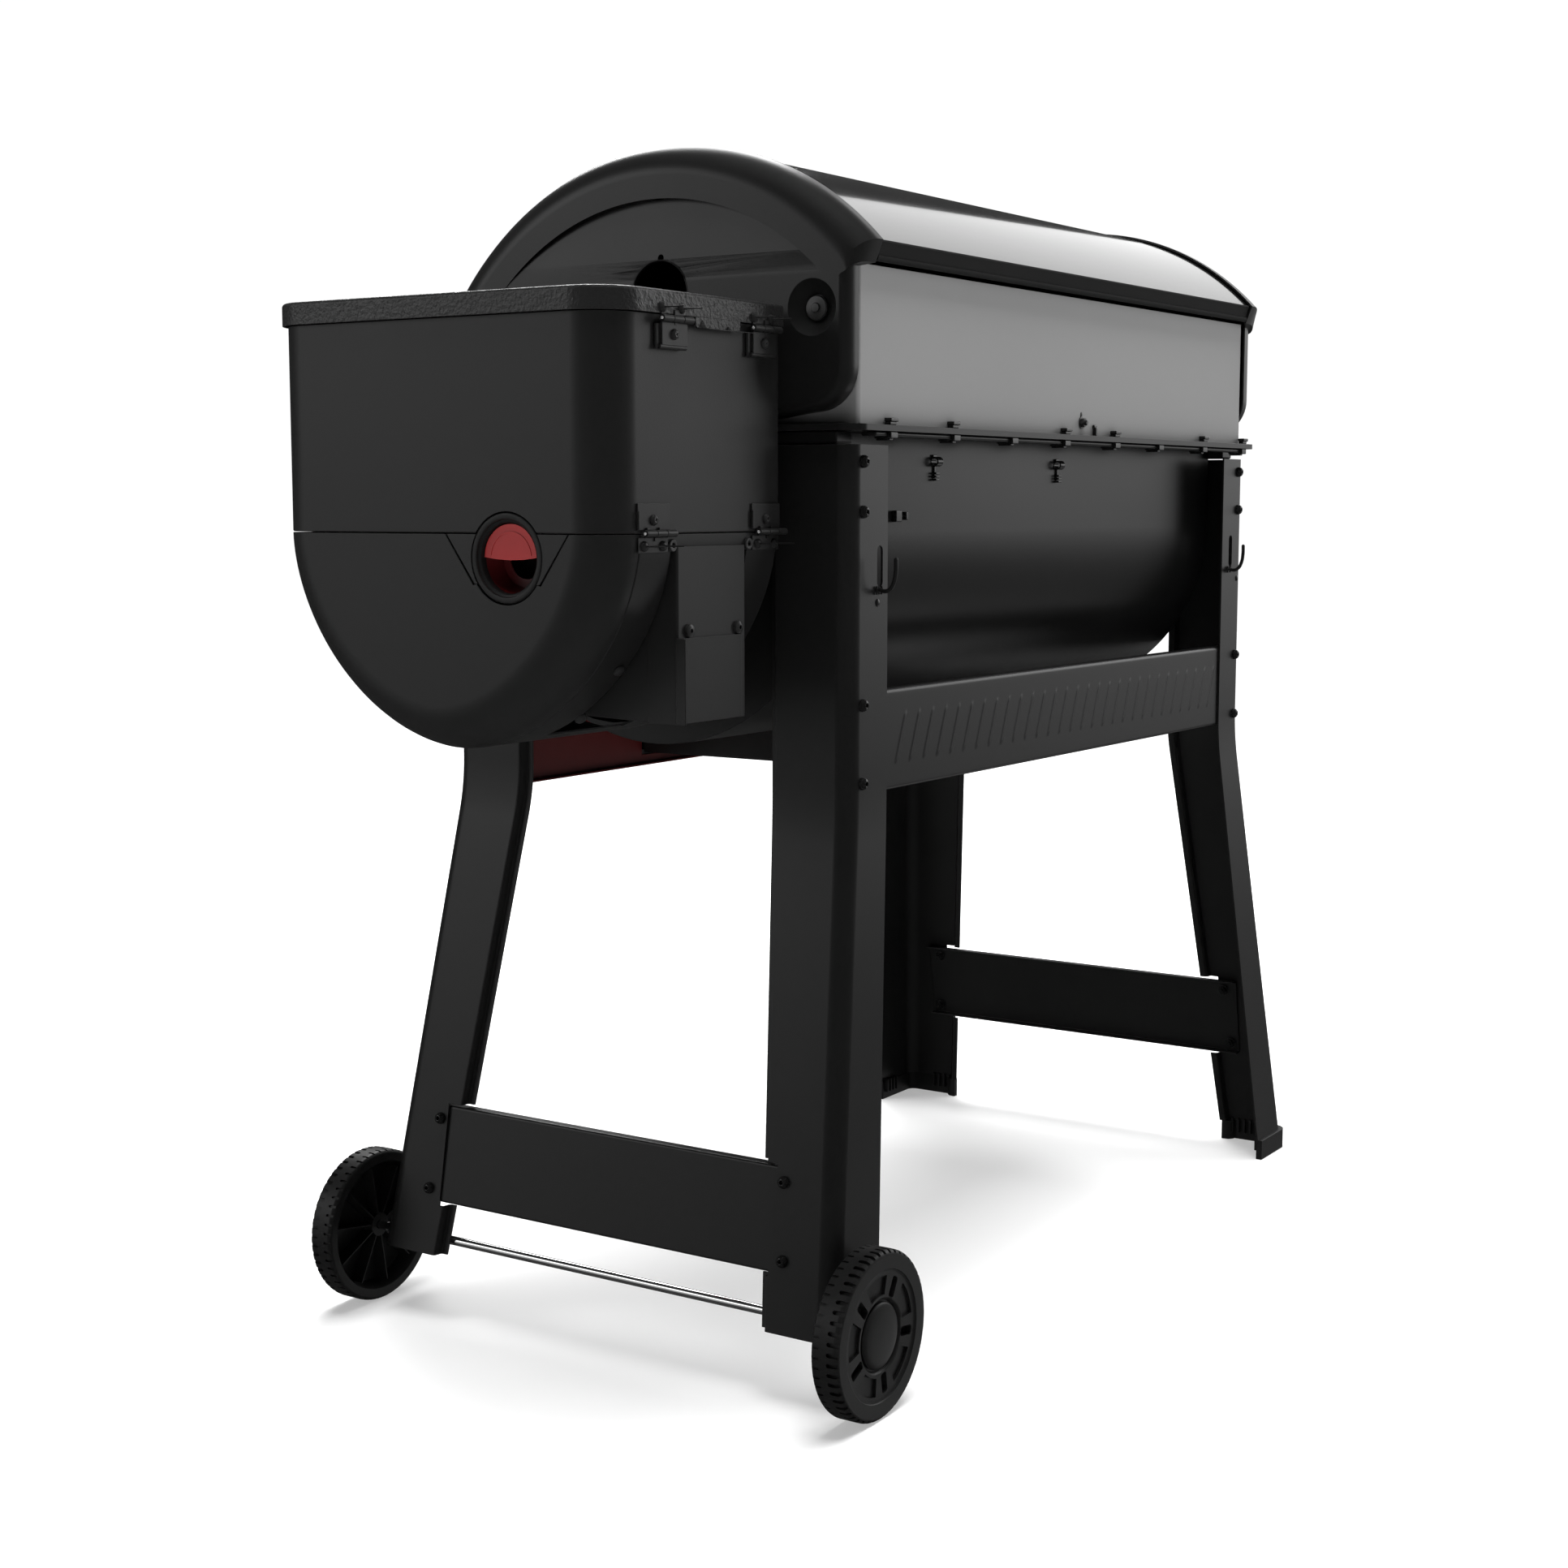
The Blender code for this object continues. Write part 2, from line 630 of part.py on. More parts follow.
def fire_box():
    centre = (0.0, AUGER_Y, 0.0)
    low, high = POT_Z
    profile = [
        (POT_R, high), (POT_R, low), (0.0120, low), (0.0120, low + 0.006),
        (POT_R - POT_WALL, low + 0.006), (POT_R - POT_WALL, high),
    ]
    pot = turned("fire_pot", "Z", centre, profile, CAST_IRON, 24)
    boolean(pot, cylinder("feed_hole", "X", (AUGER_Y, AUGER_Z), 0.030, 0.080, TUBE_R))
    boolean(pot, cylinder("igniter_hole", "X", (AUGER_Y, 0.660), -0.080, -0.040, 0.0060, sides=16))
    cylinder("igniter_rod", "X", (AUGER_Y, 0.660), -0.1300, -0.0450, 0.0050, BARE_STEEL, 16)
    section = [(-0.1850, 0.8000), (AUGER_Y, 0.8450), (0.1850, 0.8000)]
    rows = [[(x, y, z) for y, z in section] for x in (-0.4200, 0.4200)]
    sheet("heat_diffuser", rows, BARE_STEEL, 0.0025)
    grease_drawer()


def grease_drawer():
    x, (y0, y1), (z0, z1) = DRAWER_X, DRAWER_Y, DRAWER_Z
    front = box("grease_drawer", (-x - 0.015, y0 - 0.0030, z0 - 0.010), (x + 0.015, y0, z1 + 0.010),
                POWDER, origin=(0.0, y0, z0))
    tray = box("tray_block", (-x, y0 - 0.001, z0), (x, y1, z1))
    boolean(front, tray, "UNION")
    hollow = box("tray_hollow", (-x + 0.002, y0 + 0.002, z0 + 0.002), (x - 0.002, y1 - 0.002, z1 + 0.02))
    boolean(front, hollow)
    wall = x + 0.0030
    section = [(-wall, z1 + 0.0060), (-wall, z0 - 0.0010), (wall, z0 - 0.0010), (wall, z1 + 0.0060)]
    rows = [[(u, y, w) for u, w in section] for y in (-0.2340, y1 + 0.0150)]
    sheet("drawer_sleeve", rows, POWDER, 0.0015)


# ---------------------------------------------------------------- feed and blower
def feed():
    tube = cylinder("auger_tube", "X", (AUGER_Y, AUGER_Z), *TUBE_X, TUBE_R, BARE_STEEL)
    boolean(tube, cylinder(
        "tube_bore", "X", (AUGER_Y, AUGER_Z), TUBE_X[0] - 0.01, TUBE_X[1] + 0.01, TUBE_BORE
    ))
    boolean(tube, box(
        "feed_mouth", (0.6000, AUGER_Y - 0.016, AUGER_Z), (0.6800, AUGER_Y + 0.016, AUGER_Z + 0.05)
    ))
    auger_screw()
    motor = box("auger_motor", (0.7005, AUGER_Y - 0.030, 0.6560), (0.7180, AUGER_Y + 0.030, 0.7160),
                BARE_STEEL)
    can = cylinder("motor_can", "X", (AUGER_Y, AUGER_Z), 0.7170, 0.7400, 0.0240, sides=20)
    boolean(motor, can, "UNION")
    boolean(motor, cylinder(
        "motor_socket", "X", (AUGER_Y, AUGER_Z), 0.6900, 0.7150, SCREW_CORE_R + GAP, sides=16
    ))


def auger_screw():
    """A core shaft with a helical flight wound on it."""
    origin = (FLIGHT_X[0], AUGER_Y, AUGER_Z)
    shaft = cylinder("auger_screw", "X", (AUGER_Y, AUGER_Z), 0.0700, 0.7120, SCREW_CORE_R,
                     BARE_STEEL, 12, origin)
    turns = (FLIGHT_X[1] - FLIGHT_X[0]) / SCREW_PITCH
    steps = round(turns * 10)
    half = 0.0016
    made = bmesh.new()
    rings = []
    for i in range(steps + 1):
        angle = 2 * math.pi * turns * i / steps
        x = FLIGHT_X[0] + (FLIGHT_X[1] - FLIGHT_X[0]) * i / steps
        ring = []
        for radius, side in ((0.004, -half), (SCREW_R, -half), (SCREW_R, half), (0.004, half)):
            y = AUGER_Y + radius * math.cos(angle)
            z = AUGER_Z + radius * math.sin(angle)
            ring.append(made.verts.new((x + side, y, z)))
        rings.append(ring)
    for first, second in zip(rings, rings[1:]):
        for i in range(4):
            j = (i + 1) % 4
            made.faces.new((first[i], first[j], second[j], second[i]))
    made.faces.new(rings[0])
    made.faces.new(list(reversed(rings[-1])))
    flight = link("flight", mesh_of("flight", made))
    return boolean(shaft, flight, "UNION")


def blower():
    wall = 0.0020
    housing = cylinder("fan_housing", "X", (FAN_Y, FAN_Z), *FAN_X, FAN_R, PLASTIC, 28)
    duct_low = BOX_END_X + GAP
    duct = box("duct_block", (duct_low, FAN_Y - DUCT_HALF, FAN_Z - DUCT_HALF),
               (FAN_X[0] + 0.001, FAN_Y + DUCT_HALF, FAN_Z + DUCT_HALF))
    boolean(housing, duct, "UNION")
    boolean(housing, cylinder(
        "fan_hollow", "X", (FAN_Y, FAN_Z), FAN_X[0] + wall, FAN_X[1] - wall, FAN_R - wall, sides=28
    ))
    boolean(housing, cylinder(
        "fan_inlet", "X", (FAN_Y, FAN_Z), FAN_X[1] - 0.01, FAN_X[1] + 0.01, 0.0210, sides=24
    ))
    bore = DUCT_HALF - wall
    boolean(housing, box(
        "duct_bore", (duct_low - 0.01, FAN_Y - bore, FAN_Z - bore),
        (FAN_X[0] + 0.01, FAN_Y + bore, FAN_Z + bore),
    ))
    impeller()


def impeller():
    centre = (FAN_X[0] + 0.0100, FAN_Y, FAN_Z)
    disc = [(0.0, 0.0), (0.0310, 0.0), (0.0310, 0.0020), (0.0080, 0.0020), (0.0080, 0.0180),
            (0.0, 0.0180)]
    wheel_disc = turned("fan_impeller", "X", centre, disc, BARE_STEEL, 20)
    made = bmesh.new()
    blades = 10
    for i in range(blades):
        spin = Matrix.Rotation(2 * math.pi * i / blades, 4, "X")
        spot = Matrix.Translation((0.0090, 0.0245, 0.0)) @ Matrix.Diagonal((0.0160, 0.0110, 0.0014, 1.0))
        bmesh.ops.create_cube(made, size=1.0, matrix=Matrix.Translation(centre) @ spin @ spot)
    vanes = link("vanes", mesh_of("vanes", made))
    return boolean(wheel_disc, vanes, "UNION")


# ---------------------------------------------------------------- hopper
def bin_outline(over=0.0):
    """The hopper's plan: square at the grill, round-cornered at the outer end."""
    x = (HOP_IN_X - (over > 0) * 0.001, HOP_OUT_X + over)
    y = (HOP_Y[0] - over, HOP_Y[1] + over)
    outer = HOP_CORNER_R + over
    return rounded_rectangle(x, y, (0.003, outer, outer, 0.003))


def tube_rows(outline, levels):
    closed = [*outline, outline[0]]
    return [[(x, y, z) for x, y in closed] for z in levels]


def bowl_profile(inset=0.0):
    """The shroud's round bottom seen from the end, from its rear seam to its front seam.

    Half of a superellipse, with every point moved inwards along its own normal by inset.
    """
    half = HOP_Y[1] - BOWL_Y
    count = 20
    points = []
    for i in range(count + 1):
        angle = math.pi * i / count
        side = 1.0 if i <= count / 2 else -1.0
        across = abs(math.cos(angle)) if i != count / 2 else 0.0
        down = math.sin(angle) if 0 < i < count else 0.0
        slope = Vector((side * across ** (2 - 2 / BOWL_POWER) / half,
                        -(down ** (2 - 2 / BOWL_POWER)) / BOWL_DROP)).normalized()
        y = BOWL_Y + side * half * across ** (2 / BOWL_POWER) - inset * slope.x
        z = SEAM_Z - GAP - BOWL_DROP * down ** (2 / BOWL_POWER) - inset * slope.y
        points.append((y, z))
    return points


def hopper():
    bin_shell = sheet("hopper_bin", tube_rows(bin_outline(), (SEAM_Z + GAP, BIN_TOP)), POWDER,
                      0.0020)
    boolean(bin_shell, cylinder(
        "port_hole", "X", (PORT_Y, PORT_Z), HOP_OUT_X - 0.02, HOP_OUT_X + 0.02, PORT_RING_R + GAP,
        sides=36,
    ))
    hopper_lid()
    lower_shroud()
    bulkhead()
    top = rounded_rectangle((0.5230, 0.7640), (-0.1850, 0.1850), (0.003, 0.034, 0.034, 0.003), 3)
    foot_outline = rounded_rectangle((0.6000, 0.6800), (AUGER_Y - 0.020, AUGER_Y + 0.020),
                                     (0.002, 0.006, 0.006, 0.002), 3)
    rows = tube_rows(foot_outline, (0.7160,)) + tube_rows(top, (0.8400,))
    sheet("hopper_funnel", rows, BARE_STEEL, 0.0015)
    box("power_inlet", (HOP_IN_X + 0.0035, 0.0900, 0.7000), (HOP_IN_X + 0.0220, 0.1180, 0.7230),
        PLASTIC, 0.0015)


def hopper_lid():
    low, high = HOP_LID_Z
    over = HOP_LID_OVER
    soft = 0.0030
    rows = tube_rows(bin_outline(over), (low, high - soft))
    inner = rounded_rectangle(
        (HOP_IN_X - 0.001 + soft, HOP_OUT_X + over - soft),
        (HOP_Y[0] - over + soft, HOP_Y[1] + over - soft),
        (0.002, HOP_CORNER_R + over - soft, HOP_CORNER_R + over - soft, 0.002),
    )
    rows += tube_rows(inner, (high,))
    origin = (HOP_IN_X, *LID_HINGE)
    made = bmesh.new()
    grid = [[made.verts.new(point) for point in row[:-1]] for row in rows]
    for lower, upper in zip(grid, grid[1:]):
        for i in range(len(lower)):
            j = (i + 1) % len(lower)
            made.faces.new((lower[i], lower[j], upper[j], upper[i]))
    made.faces.new(grid[-1])
    mesh = bpy.data.meshes.new("hopper_lid")
    made.to_mesh(mesh)
    made.free()
    obj = link("hopper_lid", mesh, TEXTURED, origin)
    solid = obj.modifiers.new("thickness", "SOLIDIFY")
    solid.thickness = 0.0020
    solid.offset = -1.0
    settle(obj)
    for index, x in enumerate(LID_HINGE_X):
        butt_hinge(f"hopper_lid_hinge_{index + 1}", x, LID_HINGE, -1)


def butt_hinge(name, x, pin, leaf_side):
    """A fixed hinge leaf on the bin's back with its barrel; leaf_side is -1 below the pin."""
    y, z = pin
    barrel = cylinder(name, "X", (y, z), x - 0.0225, x + 0.0225, 0.0032, POWDER, 12)
    near, far = z, z + leaf_side * 0.0260
    leaf = box(name + "_leaf", (x - 0.0180, HOP_Y[1] + GAP, min(near, far)),
               (x + 0.0180, HOP_Y[1] + GAP + 0.0060, max(near, far)))
    return boolean(barrel, leaf, "UNION")


def lower_shroud():
    """The hinged cover under the bin: a round wrap with a rounded edge and an end face."""
    rows = []
    for x, inset in (
        (SHROUD_IN_X, 0.0), (HOP_OUT_X - HOP_CORNER_R, 0.0),
        *((HOP_OUT_X - HOP_CORNER_R * (1 - math.sin(a)), HOP_CORNER_R * (1 - math.cos(a)))
          for a in (math.radians(30), math.radians(60), math.radians(90))),
    ):
        rows.append([(x, y, z) for y, z in bowl_profile(inset)])
    origin = (HOP_IN_X, *SHROUD_HINGE)
    shroud = sheet("hopper_lower_shroud", rows, POWDER, caps=(len(rows) - 1,), origin=origin,
                   inward=False)
    clear = 0.0010
    notch = [
        (PORT_Y - NOTCH_TOP - clear, SEAM_Z + 0.02), (PORT_Y - NOTCH_TOP - clear, SEAM_Z - GAP),
        (PORT_Y - NOTCH_FOOT - clear, NOTCH_Z - clear),
        *arc((PORT_Y, PORT_Z), PORT_RING_R + clear, math.radians(214), math.radians(326), 12),
        (PORT_Y + NOTCH_FOOT + clear, NOTCH_Z - clear),
        (PORT_Y + NOTCH_TOP + clear, SEAM_Z - GAP), (PORT_Y + NOTCH_TOP + clear, SEAM_Z + 0.02),
    ]
    boolean(shroud, plate("port_notch", "YZ", [notch], HOP_OUT_X - 0.01, HOP_OUT_X + 0.01))
    boolean(shroud, box("rear_cutout", (CUTOUT_X[0], CUTOUT_Y, CUTOUT_Z), (CUTOUT_X[1], 0.25, 0.86)))
    for index, x in enumerate(SHROUD_HINGE_X):
        butt_hinge(f"shroud_hinge_{index + 1}", x, SHROUD_HINGE, 1)
    port()


def bulkhead():
    """The plate that closes the hopper's lower half, on a hollow neck from the cook box."""
    wall = plate("hopper_bulkhead", "YZ", [bowl_profile(0.0060)], HOP_IN_X, HOP_IN_X + SHEET, POWDER)
    neck_outline = rounded_rectangle(NECK_Y, NECK_Z, (0.030, 0.030, 0.010, 0.010), 3)
    closed = [*neck_outline, neck_outline[0]]
    rows = [[(x, y, z) for y, z in closed] for x in (BOX_END_X + GAP, HOP_IN_X + SHEET / 2)]
    neck = sheet("neck", rows, POWDER, 0.0020)
    boolean(wall, neck, "UNION")
    boolean(wall, cylinder(
        "auger_hole", "X", (AUGER_Y, AUGER_Z), HOP_IN_X - 0.01, HOP_IN_X + 0.01, TUBE_R + GAP
    ))
    side = DUCT_HALF + GAP
    boolean(wall, box("duct_hole", (HOP_IN_X - 0.01, FAN_Y - side, FAN_Z - side),
                      (HOP_IN_X + 0.01, FAN_Y + side, FAN_Z + side)))


def port():
    """The round port: a ring on a tongue of the end face, with a half-disc shutter behind it."""
    clear = GAP
    tongue = [
        (PORT_Y - NOTCH_TOP + clear, SEAM_Z - GAP), (PORT_Y - NOTCH_FOOT + clear, NOTCH_Z),
        (PORT_Y + NOTCH_FOOT - clear, NOTCH_Z), (PORT_Y + NOTCH_TOP - clear, SEAM_Z - GAP),
    ]
    bezel = plate("port_bezel", "YZ", [tongue], HOP_OUT_X - 0.0045, HOP_OUT_X - 0.0005, PLASTIC)
    ring = cylinder("ring_block", "X", (PORT_Y, PORT_Z), HOP_OUT_X - 0.0100, HOP_OUT_X,
                    PORT_RING_R, sides=36)
    boolean(bezel, ring, "UNION")
    boolean(bezel, cylinder(
        "ring_bore", "X", (PORT_Y, PORT_Z), HOP_OUT_X - 0.02, HOP_OUT_X + 0.01, PORT_HOLE_R,
        sides=36,
    ))
    disc = [(PORT_Y - 0.0300, PORT_Z), *arc((PORT_Y, PORT_Z), 0.0300, math.pi, 0.0, 14)[1:]]
    plate("port_shutter", "YZ", [disc], HOP_OUT_X - 0.0085, HOP_OUT_X - 0.0060, RED_PLASTIC,
          (HOP_OUT_X - 0.0070, PORT_Y, PORT_Z))


def chute():
    x0, x1 = CHUTE_X
    inner = CHUTE_Y - CHUTE_DEPTH
    section = [(x0, inner), (x0, CHUTE_Y), (x1, CHUTE_Y), (x1, inner)]
    rows = [[(x, y, z) for x, y in section] for z in CHUTE_Z]
    sheet("pellet_chute", rows, POWDER, 0.0015, inward=False)
    low, high = DOOR_Z
    y = CHUTE_Y + GAP
    door = box("chute_door", (DOOR_X[0], y, low), (DOOR_X[1], y + 0.0015, high), POWDER,
               origin=(DOOR_X[0], y, low))
    lip = box("door_lip", (DOOR_X[1] - 0.0015, y, low), (DOOR_X[1], y + 0.0110, high))
    boolean(door, lip, "UNION")


def controller():
    housing = box("controller_housing", (CTRL_X[0], CTRL_Y[0], CTRL_Z[0]),
                  (CTRL_X[1], CTRL_Y[1], CTRL_Z[1]), PLASTIC)
    face = CTRL_Y[0]
    for name, x in BUTTON_X.items():
        boolean(housing, cylinder(
            name + "_pocket", "Y", (x, KNOB_Z), face - 0.01, face + 0.0070, BUTTON_R + GAP, sides=16
        ))
        cylinder(name, "Y", (x, KNOB_Z), face - 0.0040, face + 0.0040, BUTTON_R, RED_PLASTIC, 16,
                 (x, face, KNOB_Z))
    box("controller_display", (0.5700, face - 0.0020, 0.9250), (0.6900, face - GAP, 0.9850), GLASS,
        0.0008)
    profile = [
        (0.0, -GAP), (KNOB_R, -GAP), (KNOB_R, -0.0120), (KNOB_R - 0.003, -0.0180), (0.0, -0.0180),
    ]
    turned("controller_knob", "Y", (KNOB_X, face, KNOB_Z), profile, PLASTIC, 24)


# ---------------------------------------------------------------- lid
def cap_ring(x_arc, x_lobe, inset):
    """One ring of the end cap: the big arc first, then the rear tip, the lobe and the bottom."""
    centre = (LID_Y, LID_Z)
    tail = math.atan2(CAP_TIP[1] + 0.0194 - LID_Z, CAP_TIP[0] + 0.0069 - LID_Y)
    front = math.pi - math.asin((LID_BOTTOM - LID_Z) / LID_CAP_R)
    small = inset * 0.3
    points = [(x_arc, y, z) for y, z in arc(centre, LID_CAP_R - inset, front, tail, 16)]
    points[0] = (x_arc, points[0][1], LID_BOTTOM + small)
    points.append((x_arc, CAP_TIP[0] - small, CAP_TIP[1] - small))
    points.append((x_lobe, LOBE_Y - small, CAP_TIP[1] - 0.0040 - small))
    corner = (LOBE_Y - LOBE_R, LOBE_BOTTOM + LOBE_R)
    lobe = arc(corner, LOBE_R - small, 0.0, -math.pi / 2, 4)
    points += [(x_lobe, y, z) for y, z in lobe]
    points.append((x_lobe, 0.1500, LID_BOTTOM + small))
    points.append((x_lobe, LID_Y, LID_BOTTOM + small))
    points.append(points[0])
    return points


def end_cap(name, side_x):
    rings = [cap_ring(CAP_IN_X, CAP_LOBE_IN_X, 0.0)]
    start = CAP_OUT_X - CAP_ROUND
    for angle in (0.0, 30.0, 60.0, 90.0):
        turn = math.radians(angle)
        inset = CAP_ROUND * (1 - math.cos(turn))
        x = start + CAP_ROUND * math.sin(turn)
        lobe_x = CAP_LOBE_IN_X + (CAP_OUT_X - CAP_LOBE_IN_X) * (0.25 + 0.75 * math.sin(turn))
        rings.append(cap_ring(x, lobe_x, inset))
    rows = [[(side_x * x, y, z) for x, y, z in ring] for ring in rings]
    origin = (0.0, *PIVOT)
    obj = cap_shell(name, rows, side_x, origin)
    low_x, high_x = sorted((side_x * (CAP_OUT_X - 0.02), side_x * (CAP_OUT_X + 0.01)))
    return boolean(obj, cylinder("pivot_bore", "X", PIVOT, low_x, high_x, PIVOT_R + GAP))


def cap_shell(name, rows, side_x, origin):
    made = bmesh.new()
    grid = [[made.verts.new(point) for point in row[:-1]] for row in rows]
    count = len(grid[0])
    for low, high in zip(grid, grid[1:]):
        for i in range(count):
            j = (i + 1) % count
            quad = (low[i], low[j], high[j], high[i])
            made.faces.new(quad if side_x < 0 else tuple(reversed(quad)))
    last = grid[-1]
    made.faces.new(last if side_x < 0 else list(reversed(last)))
    mesh = bpy.data.meshes.new(name)
    made.to_mesh(mesh)
    made.free()
    obj = link(name, mesh, POWDER, origin)
    solid = obj.modifiers.new("thickness", "SOLIDIFY")
    solid.thickness = SHEET
    solid.offset = -1.0
    return settle(obj)


def lid():
    centre = (LID_Y, LID_Z)
    front = math.pi - math.asin((LID_BOTTOM - LID_Z) / LID_SKIN_R)
    profile = [*arc(centre, LID_SKIN_R, front, LID_CREASE, 24), LID_BAND]
    rows = [[(x, y, z) for y, z in profile] for x in (-SKIN_X, SKIN_X)]
    sheet("lid_skin", rows, ENAMEL, 0.0020, inward=False, origin=(0.0, *PIVOT))
    end_cap("lid_end_cap_right", 1)
    end_cap("lid_end_cap_left", -1)
    cylinder("lid_handle", "X", (HANDLE_Y, HANDLE_Z), -HANDLE_HALF, HANDLE_HALF, HANDLE_R,
             BARE_STEEL, 20, (0.0, *PIVOT))
    for side_x, side in ((1, "right"), (-1, "left")):
        x = side_x * BRACKET_X
        reach = HANDLE_R + 0.0050
        outline = [
            (-0.2730, 0.9840), (-0.2605, 1.0160), (HANDLE_Y, HANDLE_Z + reach),
            *arc((HANDLE_Y, HANDLE_Z), reach, math.pi / 2, 1.5 * math.pi, 8)[1:],
        ]
        bracket = plate(f"handle_bracket_{side}", "YZ", [outline], x - 0.0100, x + 0.0100, POWDER,
                        (0.0, *PIVOT))
        boolean(bracket, cylinder(
            "handle_bore", "X", (HANDLE_Y, HANDLE_Z), x - 0.02, x + 0.02, HANDLE_R + GAP, sides=20
        ))


stand()
running_gear()
cook_box()
grates()
fire_box()
feed()
blower()
hopper()
chute()
controller()
lid()

for made in PARTS.objects:
    if made.type == "MESH":
        made.data.shade_smooth()
        made.data.set_sharp_from_angle(angle=math.radians(35))
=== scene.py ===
"""Pellet smoker grill: the visible shapes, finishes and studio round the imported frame.

Shapes are laid out in metres about the middle of the four legs, as the frame is, and moved
over by MID_X once they are made. +X is the hopper side and +Y is the back.
"""

import math

import bmesh
import bpy
from mathutils import Matrix, Vector


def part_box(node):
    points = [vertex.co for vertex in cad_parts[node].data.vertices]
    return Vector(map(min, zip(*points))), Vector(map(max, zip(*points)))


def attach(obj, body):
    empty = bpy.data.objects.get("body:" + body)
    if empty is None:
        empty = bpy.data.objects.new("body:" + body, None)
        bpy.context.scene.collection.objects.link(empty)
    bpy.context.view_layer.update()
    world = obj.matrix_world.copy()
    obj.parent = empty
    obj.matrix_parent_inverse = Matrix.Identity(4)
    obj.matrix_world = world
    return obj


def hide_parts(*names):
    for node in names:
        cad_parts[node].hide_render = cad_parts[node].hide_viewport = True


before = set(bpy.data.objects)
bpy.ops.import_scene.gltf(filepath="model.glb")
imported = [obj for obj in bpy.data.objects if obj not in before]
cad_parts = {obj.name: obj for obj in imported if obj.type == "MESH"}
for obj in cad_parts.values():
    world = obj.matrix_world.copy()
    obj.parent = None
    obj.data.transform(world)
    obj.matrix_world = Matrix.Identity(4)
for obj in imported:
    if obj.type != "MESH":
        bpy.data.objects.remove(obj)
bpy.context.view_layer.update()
POT_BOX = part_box("fire_pot")
MID_X = (POT_BOX[0].x + POT_BOX[1].x) / 2

# ---------------------------------------------------------------- camera
# The place and turn were solved from the parallel edges of the box, rim and legs.
scene = bpy.context.scene
lens = bpy.data.cameras.new("photo_camera")
lens.lens = 54.0
lens.sensor_width = 36.0
camera = bpy.data.objects.new("photo_camera", lens)
camera.location = (2.3805 + MID_X, 1.4207, 0.8600)
camera.rotation_euler = (math.radians(83.186), 0.0, math.radians(123.196))
scene.collection.objects.link(camera)
scene.camera = camera

# ---------------------------------------------------------------- sizes shared with the frame
SHEET, THIN, GAP = 0.0022, 0.0020, 0.0004
LEG_WEB_X, LEG_FLANGE_Y, LEG_FLANGE_IN_X = 0.4807, 0.2530, 0.4125
LEG_WEB_IN_Y, LEG_LIP_Y, LEG_LIP_STEP, LEG_CORNER_R = 0.1660, 0.1575, 0.0100, 0.0180
LEG_TOP, LEG_BEND, LEG_BEND_HALF = 0.9150, 0.5633, 0.0300
SPLAY_X, SPLAY_Y, EDGE_SPLAY, FRONT_IN = 0.0973, 0.0387, (0.0780, 0.0500), 0.0130
WHEEL_LEG_BOTTOM, FOOT_HEIGHT, FOOT_WALL, FOOT_PROUD = 0.0695, 0.0258, 0.0080, 0.0024
WHEEL_X, WHEEL_R, WHEEL_IN_Y, WHEEL_OUT_Y = 0.5444, 0.0818, 0.3010, 0.3302
AXLE_R, HOOK_X = 0.0047, 0.4310
SIDE_BRACE_Z, REAR_BRACE_Z, FRONT_BRACE_Z = (0.1245, 0.2255), (0.5800, 0.6795), (0.5530, 0.6795)
CROSS_BRACE_Y, CROSS_BRACE_X, BRACE_EDGE = 0.2504, 0.4600, 0.0120
BOX_END_X, BOX_Y, BOX_Z, BOX_R = 0.4472, 0.0, 0.8318, 0.2167
RIM_Z, RIM_OUT_X, RIM_OUT_Y = (0.9280, 0.9340), 0.4902, (-0.3000, 0.2649)
RIM_IN_X, RIM_IN_Y = 0.4435, (-0.2130, 0.2130)
HOOD_X, HOOD_Y, HOOD_TOP, HOOD_SIDE_Y = 0.4644, 0.2511, 1.0836, (0.0600, 0.1850)
LID_Y, LID_Z, LID_CAP_R, LID_SKIN_R, LID_BOTTOM = 0.0327, 0.8824, 0.3251, 0.3216, 0.9375
LID_CREASE, LID_BAND, SKIN_X = math.radians(43.5), (0.2608, 1.0856), 0.4498
CAP_IN_X, CAP_LOBE_IN_X, CAP_OUT_X, CAP_ROUND = 0.4515, 0.4687, 0.4902, 0.0310
CAP_TIP, LOBE_Y, LOBE_R, LOBE_BOTTOM = (0.2614, 1.0840), 0.2537, 0.0430, 0.9460
PIVOT, PIVOT_R, CAP_HOLE, CAP_HOLE_R = (0.2150, 1.0423), 0.0090, (0.0385, 1.0610), 0.0330
HANDLE_Y, HANDLE_Z, HANDLE_R, HANDLE_HALF, BRACKET_X = -0.3100, 1.0000, 0.0120, 0.3400, 0.3000
HOP_IN_X, HOP_OUT_X, HOP_Y, HOP_CORNER_R = 0.5182, 0.7822, (-0.1968, 0.1968), 0.0409
SEAM_Z, BIN_TOP, HOP_LID_Z, HOP_LID_OVER = 0.8332, 1.0223, (1.0227, 1.0435), 0.0054
BOWL_Y, BOWL_DROP, BOWL_POWER, SHROUD_IN_X = 0.0, 0.1963, 1.8, 0.5230
CUTOUT_X, CUTOUT_Y, CUTOUT_Z = (0.5717, 0.6910), 0.0500, 0.6400
LID_HINGE, SHROUD_HINGE = (0.2043, 1.0188), (0.2018, 0.8335)
LID_HINGE_X, SHROUD_HINGE_X = (0.5498, 0.6909), (0.5379, 0.7140)
PORT_Y, PORT_Z, PORT_RING_R, PORT_HOLE_R = 0.0840, 0.8118, 0.0401, 0.0311
NOTCH_TOP, NOTCH_FOOT, NOTCH_Z = 0.0690, 0.0373, 0.7889
